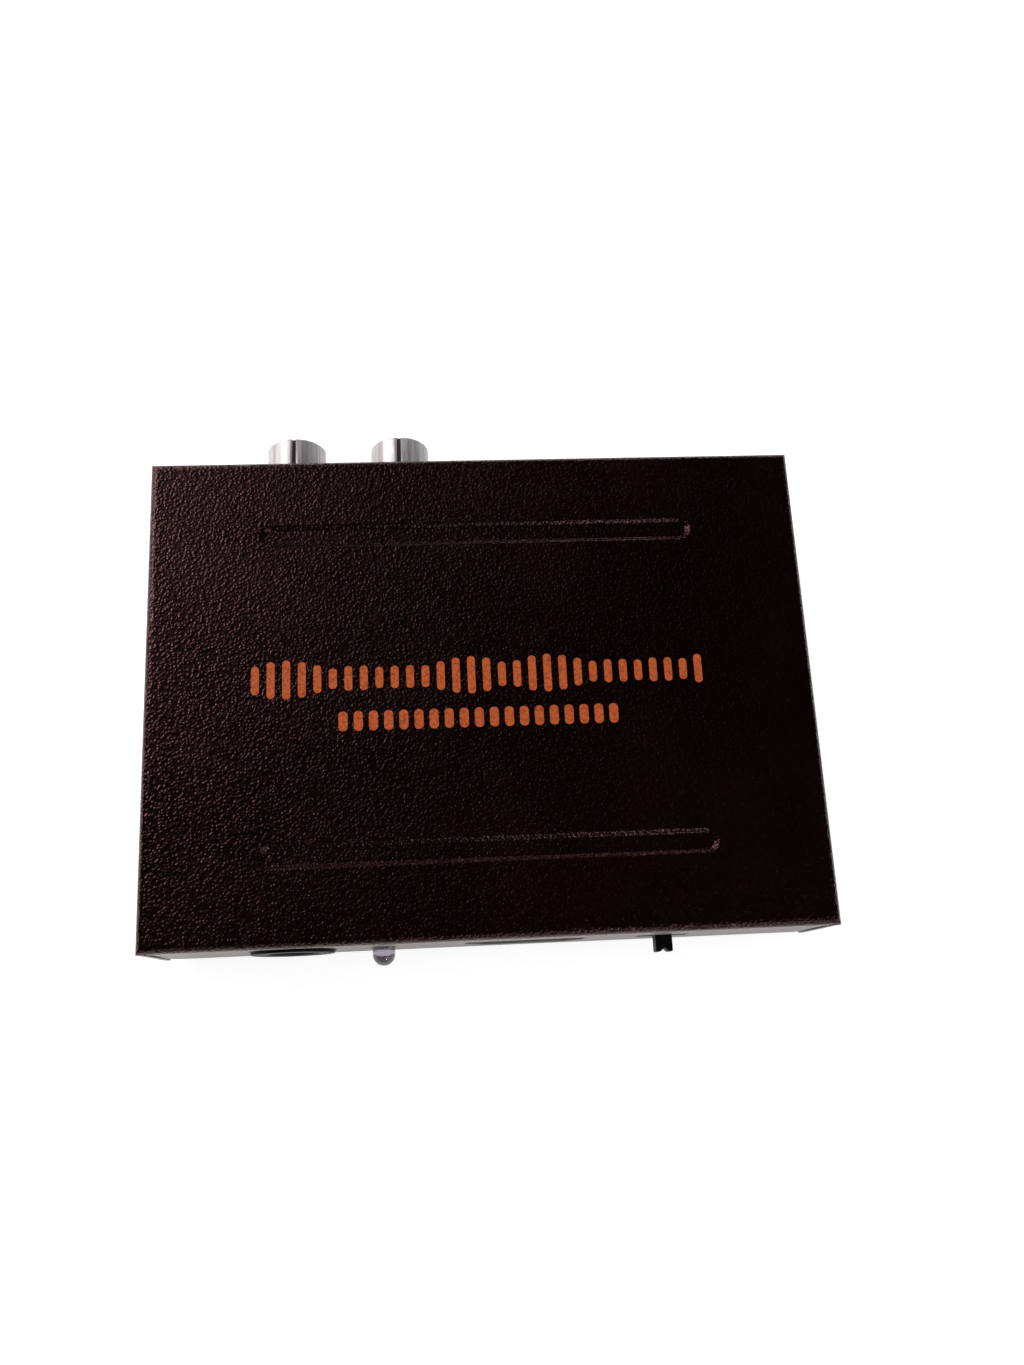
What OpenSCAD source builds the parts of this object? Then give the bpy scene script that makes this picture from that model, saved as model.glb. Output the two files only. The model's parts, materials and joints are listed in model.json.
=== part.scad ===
// A small box that splits the sound out of a digital video line.
// A folded steel case holds one board with its sockets, a lamp and a slide switch.
// The front is -Y, the rear is +Y and up is +Z.
// The origin is on the ground, under the middle of the whole object with its sockets.

/* [Case] */
// Width of the cover
case_w = 90; // [88:1:110]
// Length of the cover from front lip to rear lip
case_l = 67; // [63:1:85]
// Thickness of the folded steel sheet
sheet_t = 0.8; // [0.6:0.1:1]
// Outer radius of the bends in the sheet
bend_r = 1.2; // [1.1:0.1:1.6]
// Height of the turned-down lip at the front and rear of the cover
lip_h = 1.7; // [1.4:0.1:2.6]
// Width of the relief slits where two bends meet
relief_w = 0.6; // [0.4:0.1:1]
// Clearance between the cover's sides and the tray
cover_gap = 0.2; // [0.1:0.05:0.3]
// Clearance between the cover's lip and the tray's walls
lip_gap = 0.1; // [0.05:0.05:0.3]
// Height of the cover's side edges above the tray's underside
skirt_gap = 0.3; // [0.1:0.1:0.8]
// Height of the tray's side flanges, which take the case screws
flange_h = 9.5; // [8:0.5:11]

/* [Pressed grooves] */
// Overall length of each groove in the top
groove_l = 60; // [40:1:72]
// Width of a groove at the surface
groove_w = 3.6; // [3:0.1:5]
// Width of a groove's floor
groove_floor_w = 1.9; // [1.2:0.1:2.4]
// Depth of a groove
groove_depth = 0.45; // [0.3:0.05:0.6]
// Distance of each groove from the middle of the top
groove_y = 22; // [12:0.5:26]

/* [Face plates] */
// Thickness of the pale face plates
plate_t = 0.5; // [0.3:0.1:0.8]
// Margin between a face plate and the ends of the tray's wall
plate_margin = 0.4; // [0.2:0.1:1]
// Corner radius of a face plate
plate_corner_r = 0.8; // [0.3:0.1:2]
// Clearance round each socket in the walls
window_gap = 0.2; // [0.1:0.05:0.3]

/* [Feet and screws] */
// Height of the rubber feet
foot_h = 1.6; // [1:0.1:3]
// Radius of a foot where it is glued on
foot_r = 4; // [3:0.1:5]
// Radius of a foot on the ground
foot_tip_r = 3.5; // [2.5:0.1:4.5]
// Distance of the feet from the tray's side edges
foot_inset_x = 8; // [6:0.5:14]
// Distance of the feet from the tray's front and rear edges
foot_inset_y = 8; // [6:0.5:14]
// Shank radius of the screws
screw_r = 1.25; // [1:0.05:1.3]
// Length of a case screw's shank
case_screw_l = 4; // [3:0.5:5]
// Height of the case screws above the tray's underside
case_screw_z = 6; // [4:0.5:7]
// Distance of the case screws from the middle of the side
case_screw_y = 20; // [12:0.5:24]
// Head radius of a board screw
board_screw_head_r = 2.3; // [2:0.1:2.6]
// Head height of a board screw
board_screw_head_h = 1.5; // [1:0.1:2]
// Size of the crosses in the screw heads
cross_w = 0.5; // [0.3:0.1:0.6]
// Depth of the crosses in the screw heads
cross_depth = 0.5; // [0.3:0.1:0.6]

/* [Board] */
// Height of the standoffs under the board
standoff_h = 2.2; // [2:0.1:4]
// Radius of a standoff across its corners
standoff_r = 2.6; // [2.2:0.1:3]
// Thickness of the board
board_t = 1.6; // [1.2:0.1:2]
// Clearance between the board and the walls and flanges
board_gap = 0.3; // [0.2:0.1:0.8]
// Distance of the board's holes from its side edges
board_hole_x = 4; // [3.5:0.1:4.5]
// Distance of the board's holes from its front and rear edges
board_hole_y = 4; // [3.5:0.1:6]
// Length of the pins that stick out under the board
tail_out = 1; // [0.5:0.1:1.5]
// Clearance round each pin in the board
pin_gap = 0.15; // [0.1:0.05:0.3]

/* [Power socket] */
// Height of the power socket's axis above the board
dc_axis_h = 4.4; // [4:0.1:5]
// Radius of the round front flange
dc_flange_r = 5.5; // [5:0.1:5.8]
// Length of the flange in front of the face plate
dc_out = 0.75; // [0.5:0.05:1.2]
// Radius of the plug hole
dc_bore_r = 3; // [2.8:0.1:3.2]
// Depth of the plug hole
dc_bore_l = 9.5; // [8:0.5:11]
// Radius of the centre pin
dc_pin_r = 1; // [0.65:0.05:1.25]
// Distance of the pin's tip behind the mouth
dc_pin_setback = 1.2; // [0.5:0.1:2]
// Width of the body behind the flange
dc_body_w = 9; // [8.6:0.1:11]
// Length of the body behind the flange
dc_body_l = 12; // [11:0.5:14]
// Width of the spring contact
dc_spring_w = 2.2; // [1.6:0.1:2.6]
// Thickness of the spring contact
dc_spring_t = 0.3; // [0.2:0.05:0.4]

/* [Power lamp] */
// Radius of the lamp
led_r = 1.5; // [1.4:0.05:1.7]
// Length of the lamp in front of the face plate
led_out = 2.7; // [2.4:0.1:3.6]
// Height of the lamp's axis above the board
led_axis_h = 3.6; // [3:0.1:5]
// Radius of the rim at the foot of the lamp
led_rim_r = 1.9; // [1.8:0.05:2.1]
// Thickness of the rim
led_rim_l = 1; // [0.8:0.1:1.2]
// Width of the lamp's holder
led_holder_w = 5; // [4.6:0.1:5.6]
// Width of a lamp wire
led_wire_w = 0.5; // [0.4:0.05:0.6]
// Distance between the two lamp wires
led_wire_pitch = 2.54; // [2:0.01:3]

/* [Video sockets] */
// Width of the socket's opening at the top
video_w = 14; // [13.8:0.1:14.2]
// Width of the socket's opening at the bottom
video_foot_w = 10.4; // [9.8:0.1:11]
// Height of the socket's opening
video_h = 4.6; // [4.5:0.1:4.9]
// Height of the upright part of its sides
video_side_h = 2.4; // [2:0.1:3]
// Corner radius of the opening
video_corner_r = 0.4; // [0.2:0.1:0.6]
// Thickness of the shell's sheet
shell_t = 0.3; // [0.25:0.05:0.4]
// Length of the shell
shell_l = 12; // [11:0.5:14]
// Width of the flange round the mouth
shell_flare = 0.5; // [0.3:0.1:0.7]
// Distance of the mouth behind the face plate's front
shell_setback = 0.1; // [0:0.1:0.3]
// Width of the contact tongue
tongue_w = 11.2; // [10.6:0.1:11.6]
// Thickness of the contact tongue
tongue_t = 1.7; // [1.4:0.1:1.9]
// Distance of the tongue's tip behind the mouth
tongue_setback = 1.2; // [0.8:0.1:2]
// Length of the block behind the tongue
block_l = 3; // [2:0.5:4]
// Distance between neighbouring contacts in a row
contact_pitch = 1; // [0.8:0.05:1.05]
// Width of a contact
contact_w = 0.5; // [0.3:0.05:0.6]
// Thickness of a contact
contact_t = 0.14; // [0.1:0.02:0.2]
// Width of a spring tongue cut in the shell
latch_w = 2; // [1.6:0.1:2.4]
// Length of a spring tongue cut in the shell
latch_l = 4.6; // [3:0.1:5]
// Width of the slit round a spring tongue
latch_slit = 0.3; // [0.2:0.05:0.4]

/* [Sound sockets] */
// Distance between the two sound sockets
rca_pitch = 15; // [13:0.1:15.2]
// Height of their axis above the board
rca_axis_h = 5; // [4.6:0.1:5.4]
// Outer radius of a barrel
rca_r = 4.2; // [4:0.05:4.4]
// Wall thickness of a barrel
rca_wall = 0.45; // [0.3:0.05:0.6]
// Height of the collar on a barrel, behind the face plate's front
rca_collar = 0.2; // [0.1:0.05:0.3]
// Length of a barrel in front of the face plate
rca_out = 5.6; // [5:0.1:10]
// Length of a barrel inside its housing
rca_in = 7.5; // [4:0.5:8]
// Width of the seam along a barrel
rca_seam = 0.55; // [0.3:0.05:0.8]
// Chamfer at the mouth of a barrel
rca_chamfer = 0.3; // [0.1:0.05:0.4]
// Distance of the coloured insert behind the mouth
insert_setback = 0.7; // [0.4:0.1:1.5]
// Bore radius of the centre contact
rca_bore_r = 1.65; // [1.6:0.05:1.7]
// Wall thickness of the centre contact
rca_contact_t = 0.35; // [0.25:0.05:0.5]
// Distance of the centre contact behind the insert's face
rca_contact_setback = 0.6; // [0.3:0.1:1]
// Height of the twin housing
rca_housing_h = 10; // [9.8:0.1:10.6]
// Length of the twin housing
rca_housing_l = 10.5; // [9.5:0.5:12]
// Width of the housing beyond each barrel's axis
rca_housing_side = 6; // [5.4:0.1:6]

/* [Optical socket] */
// Width of the housing
optical_w = 9.8; // [9.6:0.1:10.4]
// Length of the housing
optical_l = 13.4; // [13:0.1:15]
// Width and height of the plug window
optical_window = 6; // [5.8:0.1:6.2]
// Height of the window's lower edge above the board
optical_sill_h = 1.6; // [1.4:0.1:2]
// Chamfer at the window's upper corners
optical_chamfer = 1; // [0.6:0.1:1.4]
// Thickness of the front lip round the window
optical_lip_t = 1; // [0.8:0.1:1.2]
// Distance of the housing behind the face plate's front
optical_setback = 0.1; // [0:0.1:0.4]
// Thickness of the shutter
shutter_t = 0.8; // [0.6:0.1:0.9]
// Overlap of the shutter behind the lip
shutter_lap = 0.3; // [0.2:0.1:0.4]
// Radius of the shutter's hinge barrel
shutter_barrel_r = 0.65; // [0.6:0.05:0.75]
// Radius of the shutter's hinge pin
shutter_pin_r = 0.3; // [0.25:0.05:0.35]
// Clearance of the shutter in its housing
shutter_gap = 0.12; // [0.08:0.02:0.2]
// Running clearance on the hinge pin
hinge_gap = 0.05; // [0.03:0.01:0.08]
// Thickness of the housing's roof
optical_roof_t = 0.7; // [0.6:0.1:1]
// Length of the shutter's return spring along its pin
spring_l = 1.6; // [1:0.1:2]
// Radius of the light guide
lens_r = 1.5; // [1.2:0.1:1.8]
// Height of the light guide above the window's lower edge
lens_axis_h = 3; // [2.6:0.1:3.2]

/* [Mode switch] */
// Width of the knob
knob_w = 2.3; // [2:0.1:3]
// Height of the knob
knob_h = 2.2; // [1.8:0.1:2.6]
// Length of the knob in front of the face plate
knob_out = 2.5; // [2:0.1:3.5]
// Width of the notch in the knob's tip
notch_w = 1.1; // [0.6:0.1:1.4]
// Depth of the notch in the knob's tip
notch_depth = 0.5; // [0.2:0.1:0.7]
// Travel of the knob to either side of its middle place
knob_travel = 2; // [1.5:0.1:2]
// Height of the knob's axis above the board
knob_axis_h = 3.2; // [3:0.1:4]
// Width of the carriage behind the knob
carriage_w = 5; // [4:0.1:6]
// Height of the carriage
carriage_h = 3.4; // [3.2:0.1:4]
// Length of the carriage
carriage_l = 1.8; // [1.4:0.1:2.4]
// Thickness of the switch's steel frame
frame_t = 0.35; // [0.3:0.05:0.5]
// Sliding clearance round the carriage and the knob
slide_gap = 0.15; // [0.1:0.05:0.25]
// Thickness of the insulating plate behind the carriage
switch_plate_t = 0.8; // [0.6:0.1:1.2]
// Room between the carriage and the insulating plate
wiper_room = 0.7; // [0.6:0.1:1]
// Thickness of the sliding contact
wiper_t = 0.25; // [0.2:0.05:0.3]

/* [Chips] */
// Width of the main chip
chip_w = 10; // [8:0.5:12]
// Height of the chips
chip_h = 1.1; // [0.8:0.1:1.6]
// Number of legs on each side of the main chip
chip_legs = 16; // [8:1:20]
// Distance between neighbouring legs of the main chip
chip_leg_pitch = 0.5; // [0.4:0.05:0.5]
// Length of the sound chips
sound_chip_l = 9; // [7:0.5:10]
// Width of the sound chips
sound_chip_w = 4; // [3.5:0.1:5]
// Number of legs along each side of a sound chip
sound_chip_legs = 7; // [4:1:7]
// Distance between neighbouring legs of a sound chip
sound_leg_pitch = 1.27; // [1:0.01:1.27]
// Length of the legs outside the chips
leg_out = 1; // [0.6:0.1:1.2]
// Thickness of the legs
leg_t = 0.15; // [0.1:0.05:0.2]
// Radius of the round capacitors
can_r = 2.5; // [2:0.1:3]
// Height of the round capacitors
can_h = 5.4; // [4:0.1:7]
// Height of the square feet of the round capacitors
can_base_h = 0.9; // [0.6:0.1:1.2]
// Length of the crystal
crystal_l = 11; // [8:0.5:12]
// Width of the crystal
crystal_w = 4.6; // [3.5:0.1:5]
// Height of the crystal
crystal_h = 3.4; // [2:0.1:4]
// Width of the coil block
coil_w = 6; // [4:0.1:7]
// Height of the coil block
coil_h = 3; // [2:0.1:4]
// Length of the small chip parts
bead_l = 1.6; // [1:0.1:2]
// Width of the small chip parts
bead_w = 0.8; // [0.5:0.1:1.2]
// Distance between neighbouring small chip parts
bead_pitch = 2.2; // [1.6:0.1:2.4]

/* [Hidden] */
$fn = 48;

// Overrun of every cut past the face that it opens
overrun = 1;
// Clearance of a fixed piece in its seat
seat_gap = 0.03;
// Number of steps in a rounded corner of an outline
corner_steps = 4;

// Colours
cover_black = "#1d1517";
plate_grey = "#8f8681";
moulding_black = "#191919";
tin = "#c6c2b8";
nickel = "#b4b4b4";
contact_gold = "#cdb469";
chip_black = "#1a1b1d";

// Heights, from the ground up
floor_top = foot_h + sheet_t;
board_low = floor_top + standoff_h;
board_top = board_low + board_t;
// Clearance of the tallest flange under the cover's lip
headroom = 0.8;
// Clearance of the housings under the roof
roof_room = 0.6;
// Clearance of the tray's walls under the roof
roof_gap = 0.2;
optical_hinge_z = optical_sill_h + optical_window + shutter_barrel_r + shutter_gap;
optical_h = optical_hinge_z + shutter_barrel_r + shutter_gap + optical_roof_t;
flange_stack = dc_axis_h + dc_flange_r + headroom + lip_h - sheet_t;
housing_stack = max(optical_h, rca_housing_h) + groove_depth + roof_room;
roof_z = board_top + max(flange_stack, housing_stack);
case_top = roof_z + sheet_t;
cover_low = foot_h + skirt_gap;
wall_top = roof_z - roof_gap;
inner_bend_r = bend_r - sheet_t;

// Places across and along the case
tray_w = case_w - 2 * (sheet_t + cover_gap);
wall_y = case_l / 2 - sheet_t - lip_gap;
panel_y = wall_y + plate_t;
tray_l = 2 * wall_y;
case_y = (max(led_out, knob_out) - rca_out) / 2;
wall_in = plate_t + sheet_t;
board_edge = wall_in + board_gap;
board_l = 2 * (panel_y - board_edge);
board_w = tray_w - 2 * (sheet_t + board_gap);
// Distance of every housing from the inside of its wall
housing_gap = 0.2;
housing_front = wall_in + housing_gap;
hole_x = board_w / 2 - board_hole_x;
hole_y = board_l / 2 - board_hole_y;
inner_w = case_w - 2 * sheet_t;
inner_l = case_l - 2 * sheet_t;
plate_w = tray_w - 2 * plate_margin;
plate_low = foot_h + bend_r;
// Distance of a face plate's top under the cover's lip
plate_drop = 0.2;
plate_top = case_top - lip_h - plate_drop;
case_screw_head_h = sheet_t + cover_gap;
// Clearance round the screws in their holes
screw_gap = 0.05;

// Power lamp
led_rim_y = housing_front;
led_wire_y = led_rim_y + led_rim_l + led_rim_r + led_wire_w;
led_wire_end = led_wire_y + led_wire_w / 2;
led_holder_end = led_rim_y + led_rim_l + led_holder_w;

// Video socket, from the middle of its bottom edge
video_low = shell_t;
video_mid = video_low + video_h / 2;
video_drop = video_h - video_side_h;
video_slope = atan2(video_drop, (video_w - video_foot_w) / 2);
block_front = shell_l - block_l;
// Number of contacts in a video socket
contact_count = 19;
// Width of a leg of the shell, and the legs' places along it
video_leg_w = 1.8;
video_leg_shares = [0.33, 0.72];

// Power socket
dc_nose_end = board_edge - housing_gap / 2;
dc_body_h = 2 * dc_axis_h;
// Wall behind the plug hole
dc_floor = dc_nose_end + dc_body_l;
dc_bore_end = dc_bore_l - dc_out;
dc_spring_room = 2 * dc_spring_t;
// Share of the centre pin's radius that its seated shank has
shank_share = 0.75;
dc_shank_r = dc_pin_r * shank_share;

// Sound sockets
rca_housing_w = rca_pitch + 2 * rca_housing_side;
rca_barrel_l = rca_out + housing_front + rca_in;
rca_inner_r = rca_r - rca_wall;
rca_collar_r = rca_r + rca_collar;
rca_bottom_y = housing_front + rca_in;
rca_contact_r = rca_bore_r + rca_contact_t;
// Width of a pin of the sound sockets
rca_pin_w = 1;

// Optical socket
optical_inner_w = optical_window + 2 * (shutter_lap + shutter_gap);
shutter_w = optical_window + 2 * shutter_lap;
shutter_y = optical_setback + optical_lip_t + shutter_gap + shutter_barrel_r;
shutter_drop = optical_hinge_z - optical_sill_h + shutter_lap;
optical_cavity_end = shutter_y + shutter_drop + 2 * shutter_gap;
optical_floor_z = optical_sill_h - shutter_lap - 2 * shutter_gap;
lens_z = optical_sill_h + lens_axis_h;
shutter_spring_x = shutter_w / 2 - spring_l;
emitter_y = optical_cavity_end + shutter_gap;
// Width of a pin of the optical socket
optical_pin_w = 0.5;

// Mode switch
carriage_front = housing_front + frame_t + slide_gap;
carriage_end = carriage_front + carriage_l;
switch_plate_y = carriage_end + wiper_room;
switch_end = switch_plate_y + switch_plate_t;
switch_inner_w = carriage_w + 2 * (knob_travel + slide_gap);
switch_inner_h = carriage_h + 2 * slide_gap;
knob_window_w = knob_w + 2 * (knob_travel + slide_gap);
knob_window_h = knob_h + 2 * slide_gap;
// Number and width of the switch's pins
switch_pin_count = 4;
switch_pin_w = 0.6;

// Widths of what stands on the board between its screw heads, from left to right
video_flange_w = video_w + 2 * (shell_t + shell_flare);
front_widths = [2 * dc_flange_r, led_holder_w, video_flange_w, switch_inner_w + 2 * frame_t];
rear_widths = [rca_housing_w, optical_w, video_flange_w];
room_w = 2 * (hole_x - board_screw_head_r);
// How the room that they leave is shared out among the gaps
front_gap_shares = [0.152, 0.122, 0.271, 0.185, 0.27];
rear_gap_shares = [0.24, 0.274, 0.327, 0.159];
dc_x = place(front_widths, front_gap_shares, 0);
led_x = place(front_widths, front_gap_shares, 1);
video_in_x = place(front_widths, front_gap_shares, 2);
switch_x = place(front_widths, front_gap_shares, 3);
rca_mid_x = place(rear_widths, rear_gap_shares, 0);
rca_x = rca_mid_x - rca_pitch / 2;
optical_x = place(rear_widths, rear_gap_shares, 1);
video_out_x = place(rear_widths, rear_gap_shares, 2);

// Height of a chip's body above the board
chip_lift = 0.1;
// Width of the legs, as a share of the distance between them
leg_share = 0.45;
// Number of rows of small chip parts in a group
bead_rows = 6;
// Places on the board, as shares of its width and its length
chip_share = [0.07, -0.032];
sound_chip_shares = [[-0.163, -0.097], [-0.163, 0.097]];
can_shares = [[-0.035, 0.226], [0.233, 0.194], [0.233, -0.226]];
crystal_share = [0.233, -0.048];
coil_share = [-0.303, -0.161];
capacitor_row_share = [-0.373, 0.097];
resistor_row_share = [0.35, 0.032];

// Sum of the first n values of a list
function sum(list, n) = n == 0 ? 0 : list[n - 1] + sum(list, n - 1);

// Middle of the piece number i, counted from 0, in a row across the board
function place(widths, shares, i) =
    let (free = room_w - sum(widths, len(widths)))
    sum(widths, i) + widths[i] / 2 + free * sum(shares, i + 1) - room_w / 2;

function unit(v) = v / norm(v);

// Arc that rounds the corner at p between its neighbours a and b
function corner_arc(a, p, b, r) =
    let (
        u = unit(a - p),
        v = unit(b - p),
        half = acos(u * v) / 2,
        centre = p + unit(u + v) * r / sin(half),
        from = p + u * r / tan(half) - centre,
        to = p + v * r / tan(half) - centre
    )
    [for (k = [0:corner_steps]) centre + r * unit(from * (1 - k / corner_steps) + to * k / corner_steps)];

// Closed outline with every corner rounded
function rounded(points, r) =
    let (n = len(points))
    [for (i = [0:n - 1]) each corner_arc(points[(i + n - 1) % n], points[i], points[(i + 1) % n], r)];

// Outline of the video socket's opening, grown by g on every side
function video_outline(g) =
    let (
        top = video_w / 2 + g,
        side_end = video_drop - g * tan((90 - video_slope) / 2),
        foot = video_foot_w / 2 + g * tan(video_slope / 2)
    )
    [[top, video_h + g], [-top, video_h + g], [-top, side_end], [-foot, -g], [foot, -g], [top, side_end]];

// Rectangle with round corners, about its middle
module round_rect(w, h, r) {
    square([w - 2 * r, h], center = true);
    square([w, h - 2 * r], center = true);
    for (x = [-1, 1], y = [-1, 1]) translate([x * (w / 2 - r), y * (h / 2 - r)]) circle(r);
}

// Stands a flat outline up and gives it a depth towards the rear
module upright(depth) {
    translate([0, depth, 0]) rotate([90, 0, 0]) linear_extrude(depth) children();
}

// Rod that runs towards the rear from its centre point
module rod(r, l) {
    rotate([-90, 0, 0]) cylinder(h = l, r = r);
}

// Block about x = 0 between two places along and two heights
module bar(w, y0, y1, z0, z1) {
    translate([-w / 2, y0, z0]) cube([w, y1 - y0, z1 - z0]);
}

// Seen from an end: a box with its upper edges bent
module bent_outline(w, h, r) {
    translate([-w / 2, 0]) square([w, h - r]);
    translate([-w / 2 + r, 0]) square([w - 2 * r, h]);
    for (x = [-1, 1]) translate([x * (w / 2 - r), h - r]) circle(r);
}

// Box with all four upper edges bent
module bent_box(w, l, h, r) {
    intersection() {
        translate([0, -l / 2, 0]) upright(l) bent_outline(w, h, r);
        rotate([0, 0, 90]) translate([0, -w / 2, 0]) upright(w) bent_outline(l, h, r);
    }
}

// Trough with sloping walls and round ends, from the level z = 0 down
module trough(w, floor_w, depth, l, over) {
    run = l - w;
    half = [[0, over], [w / 2, over], [w / 2, 0], [floor_w / 2, -depth], [0, -depth]];
    translate([-run / 2, 0, 0]) rotate([90, 0, 90]) linear_extrude(run) {
        polygon(half);
        mirror([1, 0]) polygon(half);
    }
    for (x = [-run / 2, run / 2]) translate([x, 0, 0]) rotate_extrude() polygon(half);
}

// Moves the case so that the box round the whole object is centred on the origin
module in_case() {
    translate([0, case_y, 0]) children();
}

// Puts a socket on the board, facing the front or the rear. Its y = 0 is the face plate's front.
module at_front(x) {
    translate([x, -panel_y, board_top]) children();
}

module at_rear(x) {
    translate([x, panel_y, board_top]) rotate([0, 0, 180]) children();
}

// Pin through the board, or its hole when it is grown
module post(x, y, w, d, grow = 0) {
    low = board_t + tail_out;
    translate([x - w / 2 - grow, y - d / 2 - grow, -low]) cube([w + 2 * grow, d + 2 * grow, low + grow]);
}

// Sunk head of a case screw, or its hole
module countersunk(r) {
    translate([0, 0, -case_screw_head_h]) cylinder(h = case_screw_head_h, r1 = r, r2 = r + case_screw_head_h);
}

// Places of the four case screws, heads outwards
module at_case_screws() {
    for (side = [0, 180], y = [-case_screw_y, case_screw_y]) {
        rotate([0, 0, side]) translate([case_w / 2, y, foot_h + case_screw_z]) rotate([0, 90, 0]) children();
    }
}

// Puts a piece on the board at a share of its width and its length
module on_board(share) {
    translate([share.x * board_w, share.y * board_l, board_top]) children();
}

module at_board_holes() {
    for (x = [-hole_x, hole_x], y = [-hole_y, hole_y]) translate([x, y, 0]) children();
}

module at_feet() {
    for (x = [-1, 1], y = [-1, 1]) {
        translate([x * (tray_w / 2 - foot_inset_x), y * (tray_l / 2 - foot_inset_y), 0]) children();
    }
}

// Cross recess, down from z = 0
module cross_recess(r) {
    for (a = [0, 90]) rotate([0, 0, a]) translate([-r, -cross_w / 2, -cross_depth]) {
        cube([2 * r, cross_w, cross_depth + overrun]);
    }
}

module top_cover() {
    slope = atan2(groove_depth, (groove_w - groove_floor_w) / 2);
    lap = 2 * sheet_t * tan(slope / 2);
    cover_h = case_top - cover_low;
    color(cover_black) in_case() difference() {
        union() {
            translate([0, 0, cover_low]) difference() {
                bent_box(case_w, case_l, cover_h, bend_r);
                translate([0, 0, -overrun]) {
                    bent_box(inner_w, inner_l, cover_h - sheet_t + overrun, inner_bend_r);
                }
            }
            for (y = [-groove_y, groove_y]) translate([0, y, roof_z]) {
                trough(groove_w + lap, groove_floor_w + lap, groove_depth, groove_l + lap, sheet_t / 2);
            }
        }
        for (y = [-groove_y, groove_y]) translate([0, y, case_top]) {
            trough(groove_w, groove_floor_w, groove_depth, groove_l, overrun);
        }
        // The front and the rear are open below the lips
        bar(inner_w, -case_l, case_l, cover_low - overrun, case_top - lip_h);
        for (x = [-1, 1]) translate([x * (inner_w - relief_w) / 2, 0, 0]) {
            bar(relief_w, -case_l, case_l, cover_low, roof_z - inner_bend_r);
        }
        at_case_screws() countersunk(screw_r + screw_gap);
    }
}

module video_window() {
    polygon(video_outline(shell_t + shell_flare + window_gap));
}

// Cut-outs for what shows at the front, as outlines seen from the front
module front_windows() {
    translate([dc_x, board_top + dc_axis_h]) circle(dc_flange_r + window_gap);
    translate([led_x, board_top + led_axis_h]) circle(led_r + window_gap);
    translate([video_in_x, board_top + video_low]) video_window();
    translate([switch_x, board_top + knob_axis_h]) {
        square([knob_window_w + 2 * window_gap, knob_window_h + 2 * window_gap], center = true);
    }
}

module rear_windows() {
    for (x = [rca_x, rca_x + rca_pitch]) {
        translate([x, board_top + rca_axis_h]) circle(rca_collar_r + window_gap);
    }
    translate([optical_x, board_top + optical_h / 2]) {
        square([optical_w + 2 * window_gap, optical_h + 2 * window_gap], center = true);
    }
    translate([video_out_x, board_top + video_low]) video_window();
}

module base_tray() {
    tray_h = wall_top - foot_h;
    inside_w = tray_w - 2 * sheet_t;
    side_y = tray_l / 2 - sheet_t;
    color(cover_black) in_case() difference() {
        translate([0, 0, wall_top]) mirror([0, 0, 1]) difference() {
            bent_box(tray_w, tray_l, tray_h, bend_r);
            translate([0, 0, -overrun]) {
                bent_box(inside_w, 2 * side_y, tray_h - sheet_t + overrun, inner_bend_r);
            }
        }
        // The side flanges are low, and slit from the walls
        for (x = [-1, 1]) translate([x * tray_w / 2, 0, 0]) {
            bar(2 * bend_r, -side_y, side_y, foot_h + flange_h, wall_top + overrun);
            for (y = [-side_y, side_y - relief_w]) {
                bar(2 * bend_r, y, y + relief_w, foot_h + bend_r, wall_top + overrun);
            }
        }
        translate([0, -panel_y - overrun, 0]) upright(wall_in + 2 * overrun) front_windows();
        translate([0, panel_y - wall_in - overrun, 0]) upright(wall_in + 2 * overrun) rear_windows();
        at_case_screws() translate([0, 0, -case_screw_l - case_screw_head_h]) {
            cylinder(h = case_screw_l + case_screw_head_h, r = screw_r + screw_gap);
        }
    }
}

module face_plate() {
    translate([0, (plate_low + plate_top) / 2]) {
        round_rect(plate_w, plate_top - plate_low, plate_corner_r);
    }
}

module front_plate() {
    color(plate_grey) in_case() translate([0, -panel_y, 0]) upright(plate_t) difference() {
        face_plate();
        front_windows();
    }
}

module rear_plate() {
    color(plate_grey) in_case() translate([0, panel_y - plate_t, 0]) upright(plate_t) difference() {
        face_plate();
        rear_windows();
    }
}

module case_screws() {
    color("#2b2728") in_case() at_case_screws() difference() {
        union() {
            countersunk(screw_r);
            translate([0, 0, -case_screw_head_h - case_screw_l]) {
                cylinder(h = case_screw_l + screw_gap, r = screw_r);
            }
        }
        cross_recess(screw_r);
    }
}

module rubber_feet() {
    color("#232323") in_case() at_feet() cylinder(h = foot_h, r1 = foot_tip_r, r2 = foot_r);
}

module circuit_board() {
    color("#1d4a33") in_case() difference() {
        translate([0, 0, board_low]) bar(board_w, -board_l / 2, board_l / 2, 0, board_t);
        at_board_holes() translate([0, 0, board_low - overrun]) {
            cylinder(h = board_t + 2 * overrun, r = screw_r + pin_gap);
        }
        at_front(dc_x) dc_posts(pin_gap);
        at_front(led_x) led_posts(pin_gap);
        at_front(video_in_x) video_posts(pin_gap);
        at_front(switch_x) switch_posts(pin_gap);
        at_rear(video_out_x) video_posts(pin_gap);
        at_rear(rca_mid_x) rca_posts(pin_gap);
        at_rear(optical_x) optical_posts(pin_gap);
    }
}

module board_standoffs() {
    color(nickel) in_case() at_board_holes() translate([0, 0, floor_top]) difference() {
        cylinder(h = standoff_h, r = standoff_r, $fn = 6);
        translate([0, 0, -overrun]) cylinder(h = standoff_h + 2 * overrun, r = screw_r + screw_gap);
    }
}

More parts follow.
